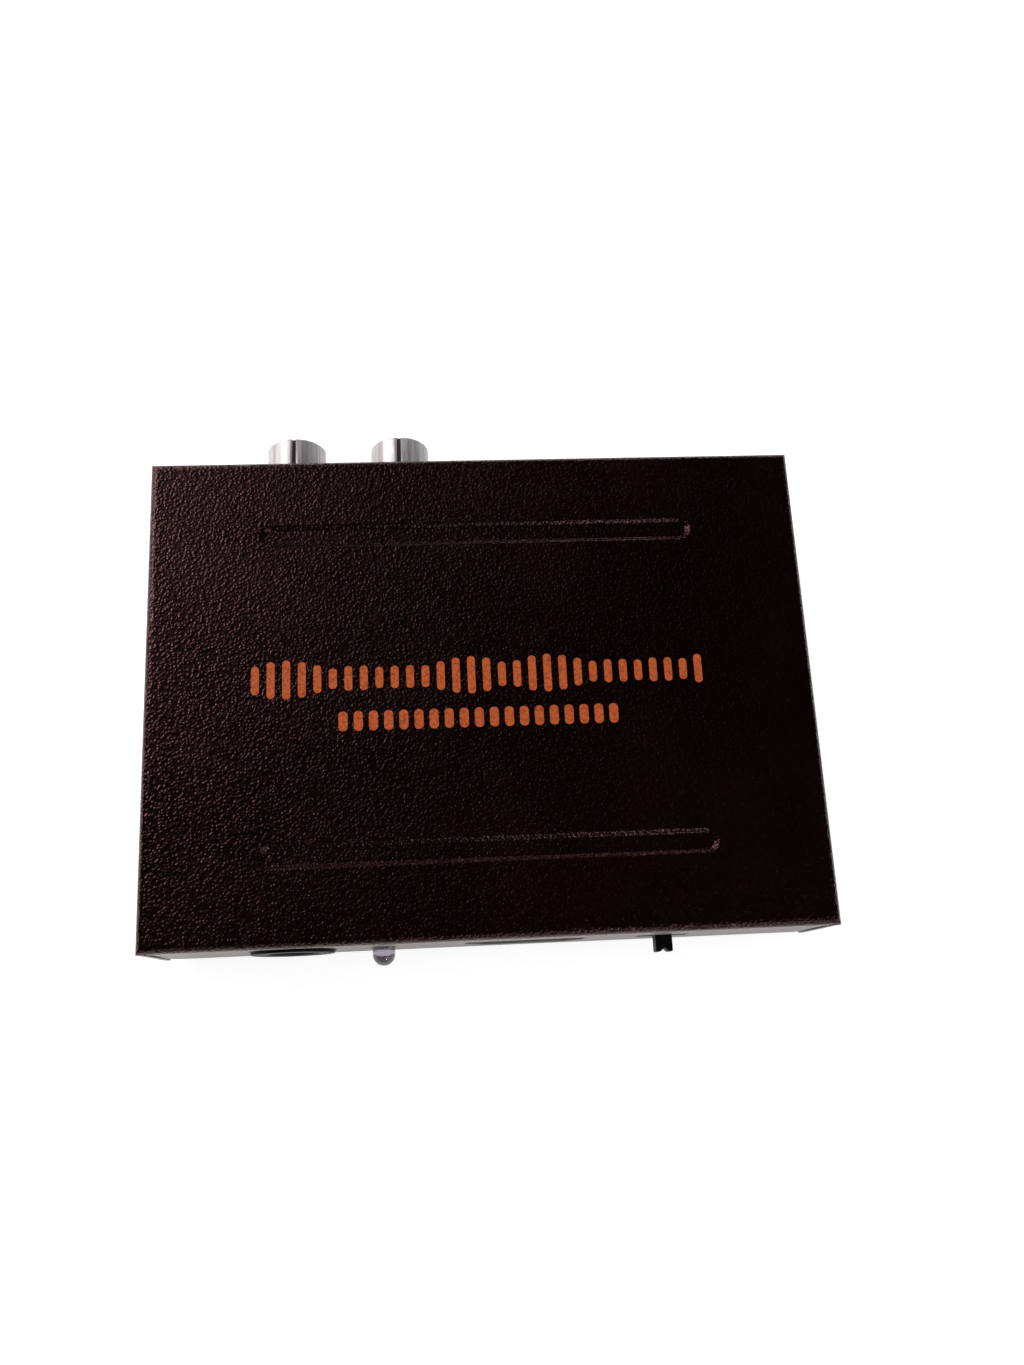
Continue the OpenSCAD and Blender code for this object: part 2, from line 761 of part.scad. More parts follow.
module board_screws() {
    head_edge = board_screw_head_h / 3;
    dome = [
        [0, 0], [board_screw_head_r, 0], [board_screw_head_r, head_edge],
        [board_screw_head_r - head_edge, board_screw_head_h], [0, board_screw_head_h],
    ];
    color(nickel) in_case() at_board_holes() translate([0, 0, board_top]) difference() {
        union() {
            rotate_extrude() polygon(dome);
            translate([0, 0, -board_t - standoff_h + screw_gap]) {
                cylinder(h = board_t + standoff_h, r = screw_r);
            }
        }
        translate([0, 0, board_screw_head_h]) cross_recess(screw_r);
    }
}

module dc_posts(grow = 0) {
    post(0, dc_floor - 2 * dc_spring_t, dc_spring_w, 2 * dc_spring_t, grow);
    post(0, (dc_nose_end + dc_floor) / 2, dc_spring_w, 2 * dc_spring_t, grow);
    post(dc_body_w / 2 - dc_spring_t, (dc_nose_end + dc_floor) / 2, dc_spring_t, dc_spring_w, grow);
}

module dc_jack_body() {
    spring_top = dc_axis_h - dc_bore_r;
    color(moulding_black) in_case() at_front(dc_x) difference() {
        union() {
            translate([0, -dc_out, dc_axis_h]) rod(dc_flange_r, dc_nose_end + dc_out);
            translate([0, dc_nose_end, dc_axis_h]) upright(dc_body_l) {
                round_rect(dc_body_w, dc_body_h, plate_corner_r);
            }
        }
        translate([0, -dc_out - overrun, dc_axis_h]) rod(dc_bore_r, dc_bore_l + overrun);
        translate([0, -dc_out, dc_axis_h]) rotate([-90, 0, 0]) {
            cylinder(h = dc_spring_room, r1 = dc_bore_r + dc_spring_room, r2 = dc_bore_r);
        }
        // Seat of the centre pin and channel of the spring contact
        translate([0, 0, dc_axis_h]) rod(dc_shank_r + seat_gap, dc_floor + overrun);
        bar(dc_spring_w + 2 * seat_gap, dc_nose_end, dc_bore_end, spring_top - dc_spring_room, dc_axis_h);
    }
}

module dc_centre_pin() {
    l = dc_floor + dc_out - dc_pin_setback;
    free_l = dc_bore_l - dc_pin_setback;
    tip = dc_pin_r / 2;
    outline = [
        [0, 0], [dc_pin_r - tip, 0], [dc_pin_r, tip], [dc_pin_r, free_l],
        [dc_shank_r, free_l], [dc_shank_r, l], [0, l],
    ];
    color("#cfc8b6") in_case() at_front(dc_x) translate([0, dc_pin_setback - dc_out, dc_axis_h]) {
        rotate([-90, 0, 0]) rotate_extrude() polygon(outline);
    }
}

module dc_spring_contact() {
    low = dc_axis_h - dc_bore_r - dc_spring_room;
    rise = dc_spring_room;
    y0 = dc_nose_end + seat_gap;
    y1 = dc_bore_end - seat_gap;
    mid = (y0 + y1) / 2;
    strip = [
        [y0, low], [mid, low + rise], [y1, low],
        [y1, low + dc_spring_t], [mid, low + rise + dc_spring_t], [y0, low + dc_spring_t],
    ];
    color(contact_gold) in_case() at_front(dc_x) translate([-dc_spring_w / 2, 0, 0]) {
        rotate([90, 0, 90]) linear_extrude(dc_spring_w) polygon(strip);
    }
}

module dc_jack_pins() {
    color(tin) in_case() at_front(dc_x) dc_posts();
}

module led_posts(grow = 0) {
    for (x = [-1, 1]) post(x * led_wire_pitch / 2, led_wire_y, led_wire_w, led_wire_w, grow);
}

module power_led() {
    barrel = led_out - led_r + led_rim_y;
    color("#c9cacb") in_case() at_front(led_x) translate([0, led_rim_y, led_axis_h]) rotate([90, 0, 0]) {
        cylinder(h = barrel, r = led_r);
        translate([0, 0, barrel]) sphere(led_r);
        translate([0, 0, -led_rim_l]) cylinder(h = led_rim_l, r = led_rim_r);
    }
}

module led_holder() {
    color(moulding_black) in_case() at_front(led_x) difference() {
        bar(led_holder_w, led_rim_y, led_holder_end, 0, led_axis_h + led_holder_w / 2);
        translate([0, led_rim_y - overrun, led_axis_h]) rod(led_rim_r + seat_gap, led_rim_l + overrun);
        for (x = [-1, 1]) translate([x * led_wire_pitch / 2, 0, 0]) {
            bar(led_wire_w + 2 * seat_gap, led_rim_y, led_wire_end + seat_gap,
                -overrun, led_axis_h + led_wire_w / 2 + seat_gap);
        }
    }
}

module led_wires() {
    color(tin) in_case() at_front(led_x) {
        led_posts();
        for (x = [-1, 1]) translate([x * led_wire_pitch / 2, 0, 0]) {
            bar(led_wire_w, led_rim_y + led_rim_l, led_wire_end,
                led_axis_h - led_wire_w / 2, led_axis_h + led_wire_w / 2);
            bar(led_wire_w, led_wire_end - led_wire_w, led_wire_end, 0, led_axis_h);
        }
    }
}

module video_posts(grow = 0) {
    for (x = [-1, 1], share = video_leg_shares) {
        post(x * (video_w + shell_t) / 2, share * shell_l, shell_t, video_leg_w, grow);
    }
}

// Slits round one spring tongue in the shell, through its top and its bottom
module latch_slits() {
    for (x = [-1, 1]) translate([x * (latch_w + latch_slit) / 2, 0, 0]) {
        bar(latch_slit, 0, latch_l, -overrun, video_h + 2 * shell_t + overrun);
    }
    bar(latch_w + latch_slit, 0, latch_slit, -overrun, video_h + 2 * shell_t + overrun);
}

module video_shell() {
    leg_top = video_low + video_drop + video_side_h / 2;
    latch_y = shell_l / 6;
    difference() {
        union() {
            translate([0, shell_setback, video_low]) {
                upright(shell_l - shell_setback) {
                    polygon(rounded(video_outline(shell_t), video_corner_r + shell_t));
                }
                upright(shell_t) {
                    polygon(rounded(video_outline(shell_t + shell_flare), video_corner_r + shell_flare));
                }
            }
            for (x = [-1, 1], share = video_leg_shares) {
                translate([x * (video_w + shell_t) / 2, share * shell_l, 0]) {
                    bar(shell_t, -video_leg_w / 2, video_leg_w / 2, 0, leg_top);
                }
            }
            video_posts();
        }
        translate([0, -overrun, video_low]) upright(shell_l + 2 * overrun) {
            polygon(rounded(video_outline(0), video_corner_r));
        }
        for (x = [-1, 1]) translate([x * video_w / 4, latch_y, 0]) latch_slits();
    }
}

module video_insulator() {
    tip = tongue_t / 4;
    side = [
        [0, tip], [tip, 0], [block_front - tongue_setback, 0], [block_front - tongue_setback, tongue_t],
        [tip, tongue_t], [0, tongue_t - tip],
    ];
    translate([0, block_front, video_low]) upright(block_l) {
        polygon(rounded(video_outline(-seat_gap), video_corner_r));
    }
    translate([-tongue_w / 2, tongue_setback, video_mid - tongue_t / 2]) {
        rotate([90, 0, 90]) linear_extrude(tongue_w) polygon(side);
    }
}

// Contacts above and below the tongue in turn, and their tails behind the block
module video_contacts() {
    y0 = 2 * tongue_setback;
    for (i = [0:contact_count - 1]) translate([(i - (contact_count - 1) / 2) * contact_pitch / 2, 0, 0]) {
        z = i % 2 == 0 ? video_mid + tongue_t / 2 : video_mid - tongue_t / 2 - contact_t;
        bar(contact_w, y0, block_front, z, z + contact_t);
        translate([0, shell_l, 0]) contact_tail();
    }
}

module contact_tail() {
    bar(contact_w / 2, 0, contact_t, 0, video_h / 3);
    bar(contact_w / 2, 0, 2 * contact_w, 0, contact_t);
}

module video_in_shell() {
    color(tin) in_case() at_front(video_in_x) video_shell();
}

module video_in_insulator() {
    color(moulding_black) in_case() at_front(video_in_x) video_insulator();
}

module video_in_contacts() {
    color(contact_gold) in_case() at_front(video_in_x) video_contacts();
}

module video_out_shell() {
    color(tin) in_case() at_rear(video_out_x) video_shell();
}

module video_out_insulator() {
    color(moulding_black) in_case() at_rear(video_out_x) video_insulator();
}

module video_out_contacts() {
    color(contact_gold) in_case() at_rear(video_out_x) video_contacts();
}

module rca_posts(grow = 0) {
    for (x = [-rca_pitch / 2, 0, rca_pitch / 2]) {
        post(x, housing_front + rca_housing_l - 2 * rca_pin_w, rca_pin_w, rca_pin_w / 2, grow);
    }
    for (x = [-rca_pitch / 2, rca_pitch / 2]) {
        post(x, housing_front + 2 * rca_pin_w, rca_pin_w, rca_pin_w / 2, grow);
    }
}

module rca_housing() {
    waist = rca_pitch / 6;
    color(moulding_black) in_case() at_rear(rca_mid_x) difference() {
        translate([0, housing_front, rca_housing_h / 2]) upright(rca_housing_l) {
            round_rect(rca_housing_w, rca_housing_h, plate_corner_r);
        }
        for (x = [-1, 1]) translate([x * rca_pitch / 2, housing_front - overrun, rca_axis_h]) {
            rod(rca_collar_r + seat_gap, rca_in + overrun);
        }
        bar(waist, 0, 2 * rca_housing_l, rca_housing_h - waist / 2, rca_housing_h + overrun);
    }
}

// Rolled metal sleeve with its open seam on top
module rca_barrel() {
    outline = [
        [rca_inner_r, 0], [rca_r - rca_chamfer, 0], [rca_r, rca_chamfer], [rca_r, rca_out],
        [rca_collar_r, rca_out], [rca_collar_r, rca_barrel_l], [rca_inner_r, rca_barrel_l],
    ];
    translate([0, -rca_out, rca_axis_h]) difference() {
        rotate([-90, 0, 0]) rotate_extrude() polygon(outline);
        bar(rca_seam, -overrun, rca_barrel_l + overrun, 0, rca_collar_r + overrun);
    }
}

module rca_insert() {
    front = insert_setback - rca_out;
    translate([0, front, rca_axis_h]) difference() {
        rod(rca_inner_r - seat_gap, rca_bottom_y - front);
        translate([0, -overrun, 0]) rod(rca_contact_r + seat_gap, rca_bottom_y - front + 2 * overrun);
    }
}

// Split spring sleeve that takes the plug's centre pin
module rca_contact() {
    front = insert_setback + rca_contact_setback - rca_out;
    l = rca_bottom_y - front;
    translate([0, front, rca_axis_h]) difference() {
        rod(rca_contact_r, l);
        translate([0, -overrun, 0]) rod(rca_bore_r, l - rca_contact_t + overrun);
        for (a = [45, 135]) rotate([0, a, 0]) {
            bar(rca_contact_t, -overrun, l / 2, -rca_contact_r - overrun, rca_contact_r + overrun);
        }
    }
}

module rca_left_barrel() {
    color(nickel) in_case() at_rear(rca_x) rca_barrel();
}

module rca_right_barrel() {
    color(nickel) in_case() at_rear(rca_x + rca_pitch) rca_barrel();
}

module rca_left_insert() {
    color("#e8e6df") in_case() at_rear(rca_x) rca_insert();
}

module rca_right_insert() {
    color("#b3262b") in_case() at_rear(rca_x + rca_pitch) rca_insert();
}

module rca_left_contact() {
    color(contact_gold) in_case() at_rear(rca_x) rca_contact();
}

module rca_right_contact() {
    color(contact_gold) in_case() at_rear(rca_x + rca_pitch) rca_contact();
}

module rca_pins() {
    color(tin) in_case() at_rear(rca_mid_x) rca_posts();
}

module optical_posts(grow = 0) {
    for (x = [-1, 0, 1]) {
        post(x * optical_w / 4, optical_l - 2 * optical_pin_w, optical_pin_w, optical_pin_w, grow);
    }
}

// Window with chamfered upper corners, about its middle
module optical_window_outline() {
    half = optical_window / 2;
    cut = half - optical_chamfer;
    polygon([[-half, -half], [half, -half], [half, cut], [cut, half], [-cut, half], [-half, cut]]);
}

module optical_housing() {
    window_mid = optical_sill_h + optical_window / 2;
    ceiling = optical_h - optical_roof_t;
    pin_l = optical_inner_w + 2 * shutter_barrel_r;
    color(moulding_black) in_case() at_rear(optical_x) difference() {
        bar(optical_w, optical_setback, optical_l, 0, optical_h);
        translate([0, optical_setback - overrun, window_mid]) upright(optical_lip_t + 2 * overrun) {
            optical_window_outline();
        }
        bar(optical_inner_w, optical_setback + optical_lip_t, optical_cavity_end, optical_floor_z, ceiling);
        translate([-pin_l / 2, shutter_y, optical_hinge_z]) rotate([0, 90, 0]) {
            cylinder(h = pin_l, r = shutter_pin_r + seat_gap);
        }
        // Room behind the wall for the light source
        translate([0, optical_cavity_end - overrun, lens_z]) rod(lens_r + seat_gap, 2 * overrun);
        bar(optical_inner_w, emitter_y - seat_gap, optical_l + overrun, optical_floor_z, ceiling);
    }
}

module optical_shutter() {
    barrel_l = shutter_w / 2 + shutter_spring_x - hinge_gap;
    color(moulding_black) in_case() at_rear(optical_x) difference() {
        union() {
            bar(shutter_w, shutter_y - shutter_barrel_r, shutter_y - shutter_barrel_r + shutter_t,
                optical_hinge_z - shutter_drop, optical_hinge_z);
            translate([-shutter_w / 2, shutter_y, optical_hinge_z]) rotate([0, 90, 0]) {
                cylinder(h = barrel_l, r = shutter_barrel_r);
            }
        }
        translate([-shutter_w, shutter_y, optical_hinge_z]) rotate([0, 90, 0]) {
            cylinder(h = 2 * shutter_w, r = shutter_pin_r + hinge_gap);
        }
        // Notch that leaves room for the spring
        translate([shutter_spring_x - hinge_gap, shutter_y, optical_hinge_z]) rotate([0, 90, 0]) {
            cylinder(h = shutter_w, r = shutter_barrel_r + hinge_gap);
        }
    }
}

module shutter_hinge_pin() {
    l = optical_inner_w + 2 * (shutter_barrel_r - seat_gap);
    color(nickel) in_case() at_rear(optical_x) translate([-l / 2, shutter_y, optical_hinge_z]) {
        rotate([0, 90, 0]) cylinder(h = l, r = shutter_pin_r);
    }
}

module shutter_spring() {
    color(tin) in_case() at_rear(optical_x) translate([shutter_spring_x, shutter_y, optical_hinge_z]) {
        rotate([0, 90, 0]) difference() {
            cylinder(h = spring_l, r = shutter_barrel_r);
            translate([0, 0, -overrun]) cylinder(h = spring_l + 2 * overrun, r = shutter_pin_r + hinge_gap);
        }
    }
}

module optical_emitter() {
    lens_front = optical_cavity_end - shutter_gap;
    color("#3a2626") in_case() at_rear(optical_x) {
        bar(optical_inner_w - 2 * seat_gap, emitter_y, optical_l - 2 * seat_gap, optical_floor_z + seat_gap,
            optical_h - optical_roof_t - seat_gap);
        translate([0, lens_front, lens_z]) rod(lens_r, emitter_y - lens_front);
    }
}

module optical_pins() {
    color(tin) in_case() at_rear(optical_x) optical_posts();
}

// The pins are as far apart as the knob moves at a click
module at_switch_pins() {
    for (i = [0:switch_pin_count - 1]) {
        translate([(i - (switch_pin_count - 1) / 2) * knob_travel, 0, 0]) children();
    }
}

module switch_posts(grow = 0) {
    at_switch_pins() post(0, switch_end + switch_pin_w / 4, switch_pin_w, switch_pin_w / 2, grow);
}

module switch_frame() {
    outer_w = switch_inner_w + 2 * frame_t;
    outer_h = switch_inner_h + 2 * frame_t;
    color(tin) in_case() at_front(switch_x) difference() {
        translate([0, housing_front, knob_axis_h]) upright(switch_end - housing_front) {
            square([outer_w, outer_h], center = true);
        }
        translate([0, housing_front + frame_t, knob_axis_h]) upright(switch_end) {
            square([switch_inner_w, switch_inner_h], center = true);
        }
        translate([0, housing_front - overrun, knob_axis_h]) upright(frame_t + 2 * overrun) {
            square([knob_window_w, knob_window_h], center = true);
        }
    }
}

// Knob with a notched tip, and the carriage that runs in the frame
module switch_slider() {
    tip = -knob_out;
    outline = [
        [-knob_w / 2, tip], [-notch_w / 2, tip], [0, tip + notch_depth], [notch_w / 2, tip],
        [knob_w / 2, tip], [knob_w / 2, carriage_front], [-knob_w / 2, carriage_front],
    ];
    color(moulding_black) in_case() at_front(switch_x) {
        translate([0, 0, knob_axis_h - knob_h / 2]) linear_extrude(knob_h) polygon(outline);
        translate([0, 0, knob_axis_h - carriage_h / 2]) {
            bar(carriage_w, carriage_front, carriage_end, 0, carriage_h);
        }
    }
}

// Bowed strip that bridges two neighbouring contacts
module switch_wiper() {
    reach = wiper_room - wiper_t - slide_gap;
    half = carriage_w / 3;
    strip = [
        [-half, 0], [0, 0], [half, 0], [half, wiper_t], [half / 2, wiper_t + reach], [0, wiper_t],
        [-half / 2, wiper_t + reach], [-half, wiper_t],
    ];
    color(contact_gold) in_case() at_front(switch_x) translate([0, carriage_end, knob_axis_h - knob_h / 2]) {
        linear_extrude(knob_h) polygon(strip);
    }
}

module switch_plate() {
    color("#6b4a2c") in_case() at_front(switch_x) translate([0, switch_plate_y, knob_axis_h]) {
        upright(switch_plate_t) {
            square([switch_inner_w - 2 * seat_gap, switch_inner_h - 2 * seat_gap], center = true);
        }
    }
}

module switch_pins() {
    color(tin) in_case() at_front(switch_x) {
        switch_posts();
        at_switch_pins() bar(switch_pin_w, switch_end, switch_end + switch_pin_w / 2, 0, knob_axis_h);
    }
}

// One row of bent legs, standing out towards +y from y = 0
module leg_row(count, pitch, w, h) {
    knee = leg_out / 3;
    side = [
        [0, h / 2], [knee, h / 2], [2 * knee, leg_t], [leg_out, leg_t], [leg_out, 0],
        [2 * knee - leg_t / 2, 0], [knee - leg_t / 2, h / 2 - leg_t], [0, h / 2 - leg_t],
    ];
    for (i = [0:count - 1]) translate([(i - (count - 1) / 2) * pitch - w / 2, 0, 0]) {
        rotate([90, 0, 90]) linear_extrude(w) polygon(side);
    }
}

// Moulded body of a chip
module chip_body(w, l) {
    translate([0, 0, chip_lift]) linear_extrude(chip_h - chip_lift) square([w, l], center = true);
}

module video_chip() {
    color(chip_black) in_case() on_board(chip_share) chip_body(chip_w, chip_w);
}

module video_chip_legs() {
    color(tin) in_case() on_board(chip_share) for (a = [0, 90, 180, 270]) {
        rotate([0, 0, a]) translate([0, chip_w / 2, 0]) {
            leg_row(chip_legs, chip_leg_pitch, chip_leg_pitch * leg_share, chip_h);
        }
    }
}

module sound_chips() {
    color(chip_black) in_case() for (share = sound_chip_shares) {
        on_board(share) chip_body(sound_chip_l, sound_chip_w);
    }
}

module sound_chip_legs() {
    color(tin) in_case() for (share = sound_chip_shares, a = [0, 180]) {
        on_board(share) rotate([0, 0, a]) translate([0, sound_chip_w / 2, 0]) {
            leg_row(sound_chip_legs, sound_leg_pitch, sound_leg_pitch * leg_share / 2, chip_h);
        }
    }
}

// Drawn cans with a pinched neck
module round_capacitors() {
    neck = can_r / 10;
    neck_z = can_base_h + can_r / 2;
    outline = [
        [0, can_base_h], [can_r, can_base_h], [can_r, neck_z], [can_r - neck, neck_z + neck],
        [can_r, neck_z + 2 * neck], [can_r, can_h - neck], [can_r - neck, can_h], [0, can_h],
    ];
    color("#bdbdbd") in_case() for (share = can_shares) on_board(share) rotate_extrude() polygon(outline);
}

module capacitor_feet() {
    half = can_r + can_r / 20;
    cut = half - can_r / 3;
    outline = [[-half, -half], [half, -half], [half, cut], [cut, half], [-cut, half], [-half, cut]];
    color(moulding_black) in_case() for (share = can_shares) {
        on_board(share) linear_extrude(can_base_h) polygon(outline);
    }
}

module crystal() {
    run = crystal_l - crystal_w;
    rim = crystal_w / 12;
    color("#c3c3c1") in_case() on_board(crystal_share) for (g = [[0, crystal_h / 6], [-rim, crystal_h]]) {
        linear_extrude(g.y) {
            square([run, crystal_w + 2 * g.x], center = true);
            for (x = [-1, 1]) translate([x * run / 2, 0]) circle(crystal_w / 2 + g.x);
        }
    }
}

module coil_block() {
    color("#3b3d40") in_case() on_board(coil_share) linear_extrude(coil_h) {
        round_rect(coil_w, coil_w, coil_w / 5);
    }
}

// Two columns of small chip parts
module bead_group(h) {
    for (i = [0:bead_rows - 1], x = [0, 2 * bead_l]) {
        translate([x, i * bead_pitch, 0]) cube([bead_l, bead_w, h]);
    }
}

module chip_capacitors() {
    color("#b59a72") in_case() on_board(capacitor_row_share) bead_group(bead_w);
}

module chip_resistors() {
    color(chip_black) in_case() on_board(resistor_row_share) bead_group(bead_w / 2);
}

top_cover();
base_tray();
front_plate();
rear_plate();
case_screws();
rubber_feet();
circuit_board();
board_standoffs();
board_screws();
dc_jack_body();
dc_centre_pin();
dc_spring_contact();
dc_jack_pins();
power_led();
led_holder();
led_wires();
video_in_shell();
video_in_insulator();
video_in_contacts();
video_out_shell();
video_out_insulator();
video_out_contacts();
rca_housing();
rca_left_barrel();
rca_right_barrel();
rca_left_insert();
rca_right_insert();
rca_left_contact();
rca_right_contact();
rca_pins();
optical_housing();
optical_shutter();
shutter_hinge_pin();
shutter_spring();
optical_emitter();
optical_pins();
switch_frame();
switch_slider();
switch_wiper();
switch_plate();
switch_pins();
video_chip();
video_chip_legs();
sound_chips();
sound_chip_legs();
round_capacitors();
capacitor_feet();
crystal();
coil_block();
chip_capacitors();
chip_resistors();
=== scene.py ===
import json
import math

import bmesh
import bpy
from mathutils import Matrix, Vector


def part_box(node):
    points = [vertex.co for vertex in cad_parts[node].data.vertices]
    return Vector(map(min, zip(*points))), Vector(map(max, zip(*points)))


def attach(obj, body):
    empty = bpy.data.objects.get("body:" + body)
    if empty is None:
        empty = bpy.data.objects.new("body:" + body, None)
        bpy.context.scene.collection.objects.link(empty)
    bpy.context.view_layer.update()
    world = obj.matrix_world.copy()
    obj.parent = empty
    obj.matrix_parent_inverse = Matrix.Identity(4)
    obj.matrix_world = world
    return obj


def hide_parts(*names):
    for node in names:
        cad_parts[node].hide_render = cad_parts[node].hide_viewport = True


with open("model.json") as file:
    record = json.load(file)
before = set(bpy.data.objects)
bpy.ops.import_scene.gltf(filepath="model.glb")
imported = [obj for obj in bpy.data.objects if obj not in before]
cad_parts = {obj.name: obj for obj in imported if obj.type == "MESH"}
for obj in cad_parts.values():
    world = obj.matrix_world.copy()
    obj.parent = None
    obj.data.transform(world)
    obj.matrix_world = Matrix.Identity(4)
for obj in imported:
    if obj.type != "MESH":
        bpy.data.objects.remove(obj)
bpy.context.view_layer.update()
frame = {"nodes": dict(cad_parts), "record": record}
nodes = frame["nodes"]
SLOT_OF = {part["node"]: part["material_slot"] for part in frame["record"]["subparts"]}

# Lengths are written in millimetres. New pieces are modelled a thousand times their size,
# so that the operators' fixed thresholds stay small, and are scaled down when they are done.
MM = 0.001


def box_mm(node):
    """Lowest corner, highest corner, middle and size of a CAD node, in millimetres."""
    low, high = (Vector(c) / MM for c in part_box(node))
    return low, high, (low + high) / 2, high - low


# Camera, as in the photograph: from the front, nearly straight down, a little turned
CAMERA_PLACE = Vector((-7.18, -43.28, 162.78))
CAMERA_AIM = Vector((1.92, -5.87, 18.6))
CAMERA_ROLL = math.radians(11.4)
CAMERA_LENS = 29.61
CAMERA_SENSOR = 36
CAMERA_NEAREST = 5
# The photograph is a piece cut from a larger one, so the lens's axis isn't in its middle
CAMERA_SHIFT = (0.0089, 0.0247)


def camera():
    """The camera, with its roll about its own axis."""
    data = bpy.data.cameras.new("camera")
    data.sensor_width = CAMERA_SENSOR
    data.lens = CAMERA_LENS
    data.clip_start = CAMERA_NEAREST * MM
    data.shift_x, data.shift_y = CAMERA_SHIFT
    view = bpy.data.objects.new("camera", data)
    bpy.context.scene.collection.objects.link(view)
    aimed = (CAMERA_AIM - CAMERA_PLACE).to_track_quat("-Z", "Y").to_matrix()
    turn = aimed @ Matrix.Rotation(CAMERA_ROLL, 3, "Z")
    view.matrix_world = Matrix.Translation(CAMERA_PLACE * MM) @ turn.to_4x4()
    bpy.context.scene.camera = view


camera()


# Small tools for modelling as by hand. A place within NEAR of a plane counts as on it, and a face or
# an edge counts as facing an axis when its direction has more than the share FACING along it.
NEAR = 0.01
FACING = 0.9
# CAD nodes come as loose triangles: vertices this near are merged, and faces this flat are joined
MERGED = 0.001
FLAT_ANGLE = 0.5


def only(piece):
    """Leaves edit mode and selects this piece alone, or nothing at all."""
    if bpy.context.object and bpy.context.object.mode == "EDIT":
        bpy.ops.object.mode_set(mode="OBJECT")
    bpy.ops.object.select_all(action="DESELECT")
    if piece:
        bpy.context.view_layer.objects.active = piece
        piece.select_set(True)


def begin(primitive, name, **settings):
    """Adds a primitive to an empty selection and gives it a name."""
    only(None)
    primitive(**settings)
    piece = bpy.context.object
    piece.name = piece.data.name = name
    bpy.ops.object.transform_apply(location=True, rotation=True, scale=True)
    return piece


def pick(kind, test):
    """In edit mode, selects the vertices, edges or faces that pass the test. The test is given each
    one's middle, and its normal or, for an edge, its direction."""
    mesh = bmesh.from_edit_mesh(bpy.context.object.data)
    bpy.ops.mesh.select_mode(type=kind)
    bpy.ops.mesh.select_all(action="DESELECT")
    mesh.normal_update()
    for part in {"VERT": mesh.verts, "EDGE": mesh.edges, "FACE": mesh.faces}[kind]:
        if kind == "VERT":
            mid, way = part.co, part.normal
        elif kind == "EDGE":
            mid = (part.verts[0].co + part.verts[1].co) / 2
            way = (part.verts[0].co - part.verts[1].co).normalized()
        else:
            mid, way = part.calc_center_median(), part.normal
        if test(mid, way):
            part.select_set(True)
    mesh.select_flush_mode()
    bmesh.update_edit_mesh(bpy.context.object.data)


def edit(piece):
    """Puts this piece alone in edit mode."""
    only(piece)
    bpy.ops.object.mode_set(mode="EDIT")


def apply(piece, kind, **settings):
    """Gives a piece a modifier and applies it."""
    only(piece)
    modifier = piece.modifiers.new(kind.lower(), kind)
    for key, value in settings.items():
        setattr(modifier, key, value)
    bpy.ops.object.modifier_apply(modifier=modifier.name)


def cut(piece, cutter):
    """Takes a cutter away from a piece, and deletes the cutter."""
    apply(piece, "BOOLEAN", object=cutter, operation="DIFFERENCE", solver="EXACT")
    bpy.data.objects.remove(cutter)


def rounded(piece, width, angle=35):
    """Rounds every edge sharper than the angle, in degrees."""
    apply(piece, "BEVEL", width=width, segments=2, limit_method="ANGLE", angle_limit=math.radians(angle),
          harden_normals=False, use_clamp_overlap=True)


def finish(piece, body, finish_of, replaces=(), smooth=35):
    """Scales a piece down to metres, shades it, and gives it its material, body and CAD nodes."""
    only(piece)
    bpy.ops.object.shade_smooth_by_angle(angle=math.radians(smooth))
    piece.scale = (MM, MM, MM)
    bpy.ops.object.transform_apply(location=True, rotation=True, scale=True)
    # Flat faces keep their own direction up to the rounded edges
    apply(piece, "WEIGHTED_NORMAL", keep_sharp=True)
    piece.data.materials.clear()
    piece.data.materials.append(MATERIALS[finish_of])
    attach(piece, body)
    if replaces:
        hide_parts(*replaces)
    return piece


def join(name, pieces):
    """Joins pieces that are one moulding or one print."""
    only(pieces[0])
    for piece in pieces[1:]:
        piece.select_set(True)
    bpy.ops.object.join()
    pieces[0].name = pieces[0].data.name = name
    return pieces[0]


def softened(node, width):
    """Copy of a CAD node, merged and with its edges rounded. At no width it is only merged."""
    piece = bpy.data.objects.new(node + "_softened", nodes[node].data.copy())
    bpy.context.scene.collection.objects.link(piece)
    only(piece)
    piece.scale = (1 / MM, 1 / MM, 1 / MM)
    bpy.ops.object.transform_apply(location=True, rotation=True, scale=True)
    edit(piece)
    bpy.ops.mesh.select_all(action="SELECT")
    bpy.ops.mesh.remove_doubles(threshold=MERGED)
    if width:
        bpy.ops.mesh.dissolve_limited(angle_limit=math.radians(FLAT_ANGLE))
    bpy.ops.object.mode_set(mode="OBJECT")
    if width:
        rounded(piece, width)
    return piece


# Materials
def linear(colour):
    """An sRGB hex value as a linear colour."""
    parts = [int(colour[i:i + 2], 16) / 255 for i in (1, 3, 5)]
    return [c / 12.92 if c <= 0.04045 else ((c + 0.055) / 1.055) ** 2.4 for c in parts] + [1]


def per_mm(size):
    """Texture scale that gives features of this size in millimetres."""
    return 1 / (size * MM)


def add(tree, kind, inputs=(), to=None, **settings):
    """Adds a node with its settings. An input takes a value, a socket, or a node's first output in use,
    and the new node's own first output goes to the socket given as to."""
    node = tree.nodes.new("ShaderNode" + kind)
    for key, value in settings.items():
        setattr(node, key, value)
    for key, value in dict(inputs).items():
        if isinstance(value, bpy.types.Node):
            value = next(output for output in value.outputs if output.enabled)
        if isinstance(value, bpy.types.NodeSocket):
            tree.links.new(value, node.inputs[key])
        else:
            node.inputs[key].default_value = value
    if to:
        tree.links.new(next(output for output in node.outputs if output.enabled), to)
    return node


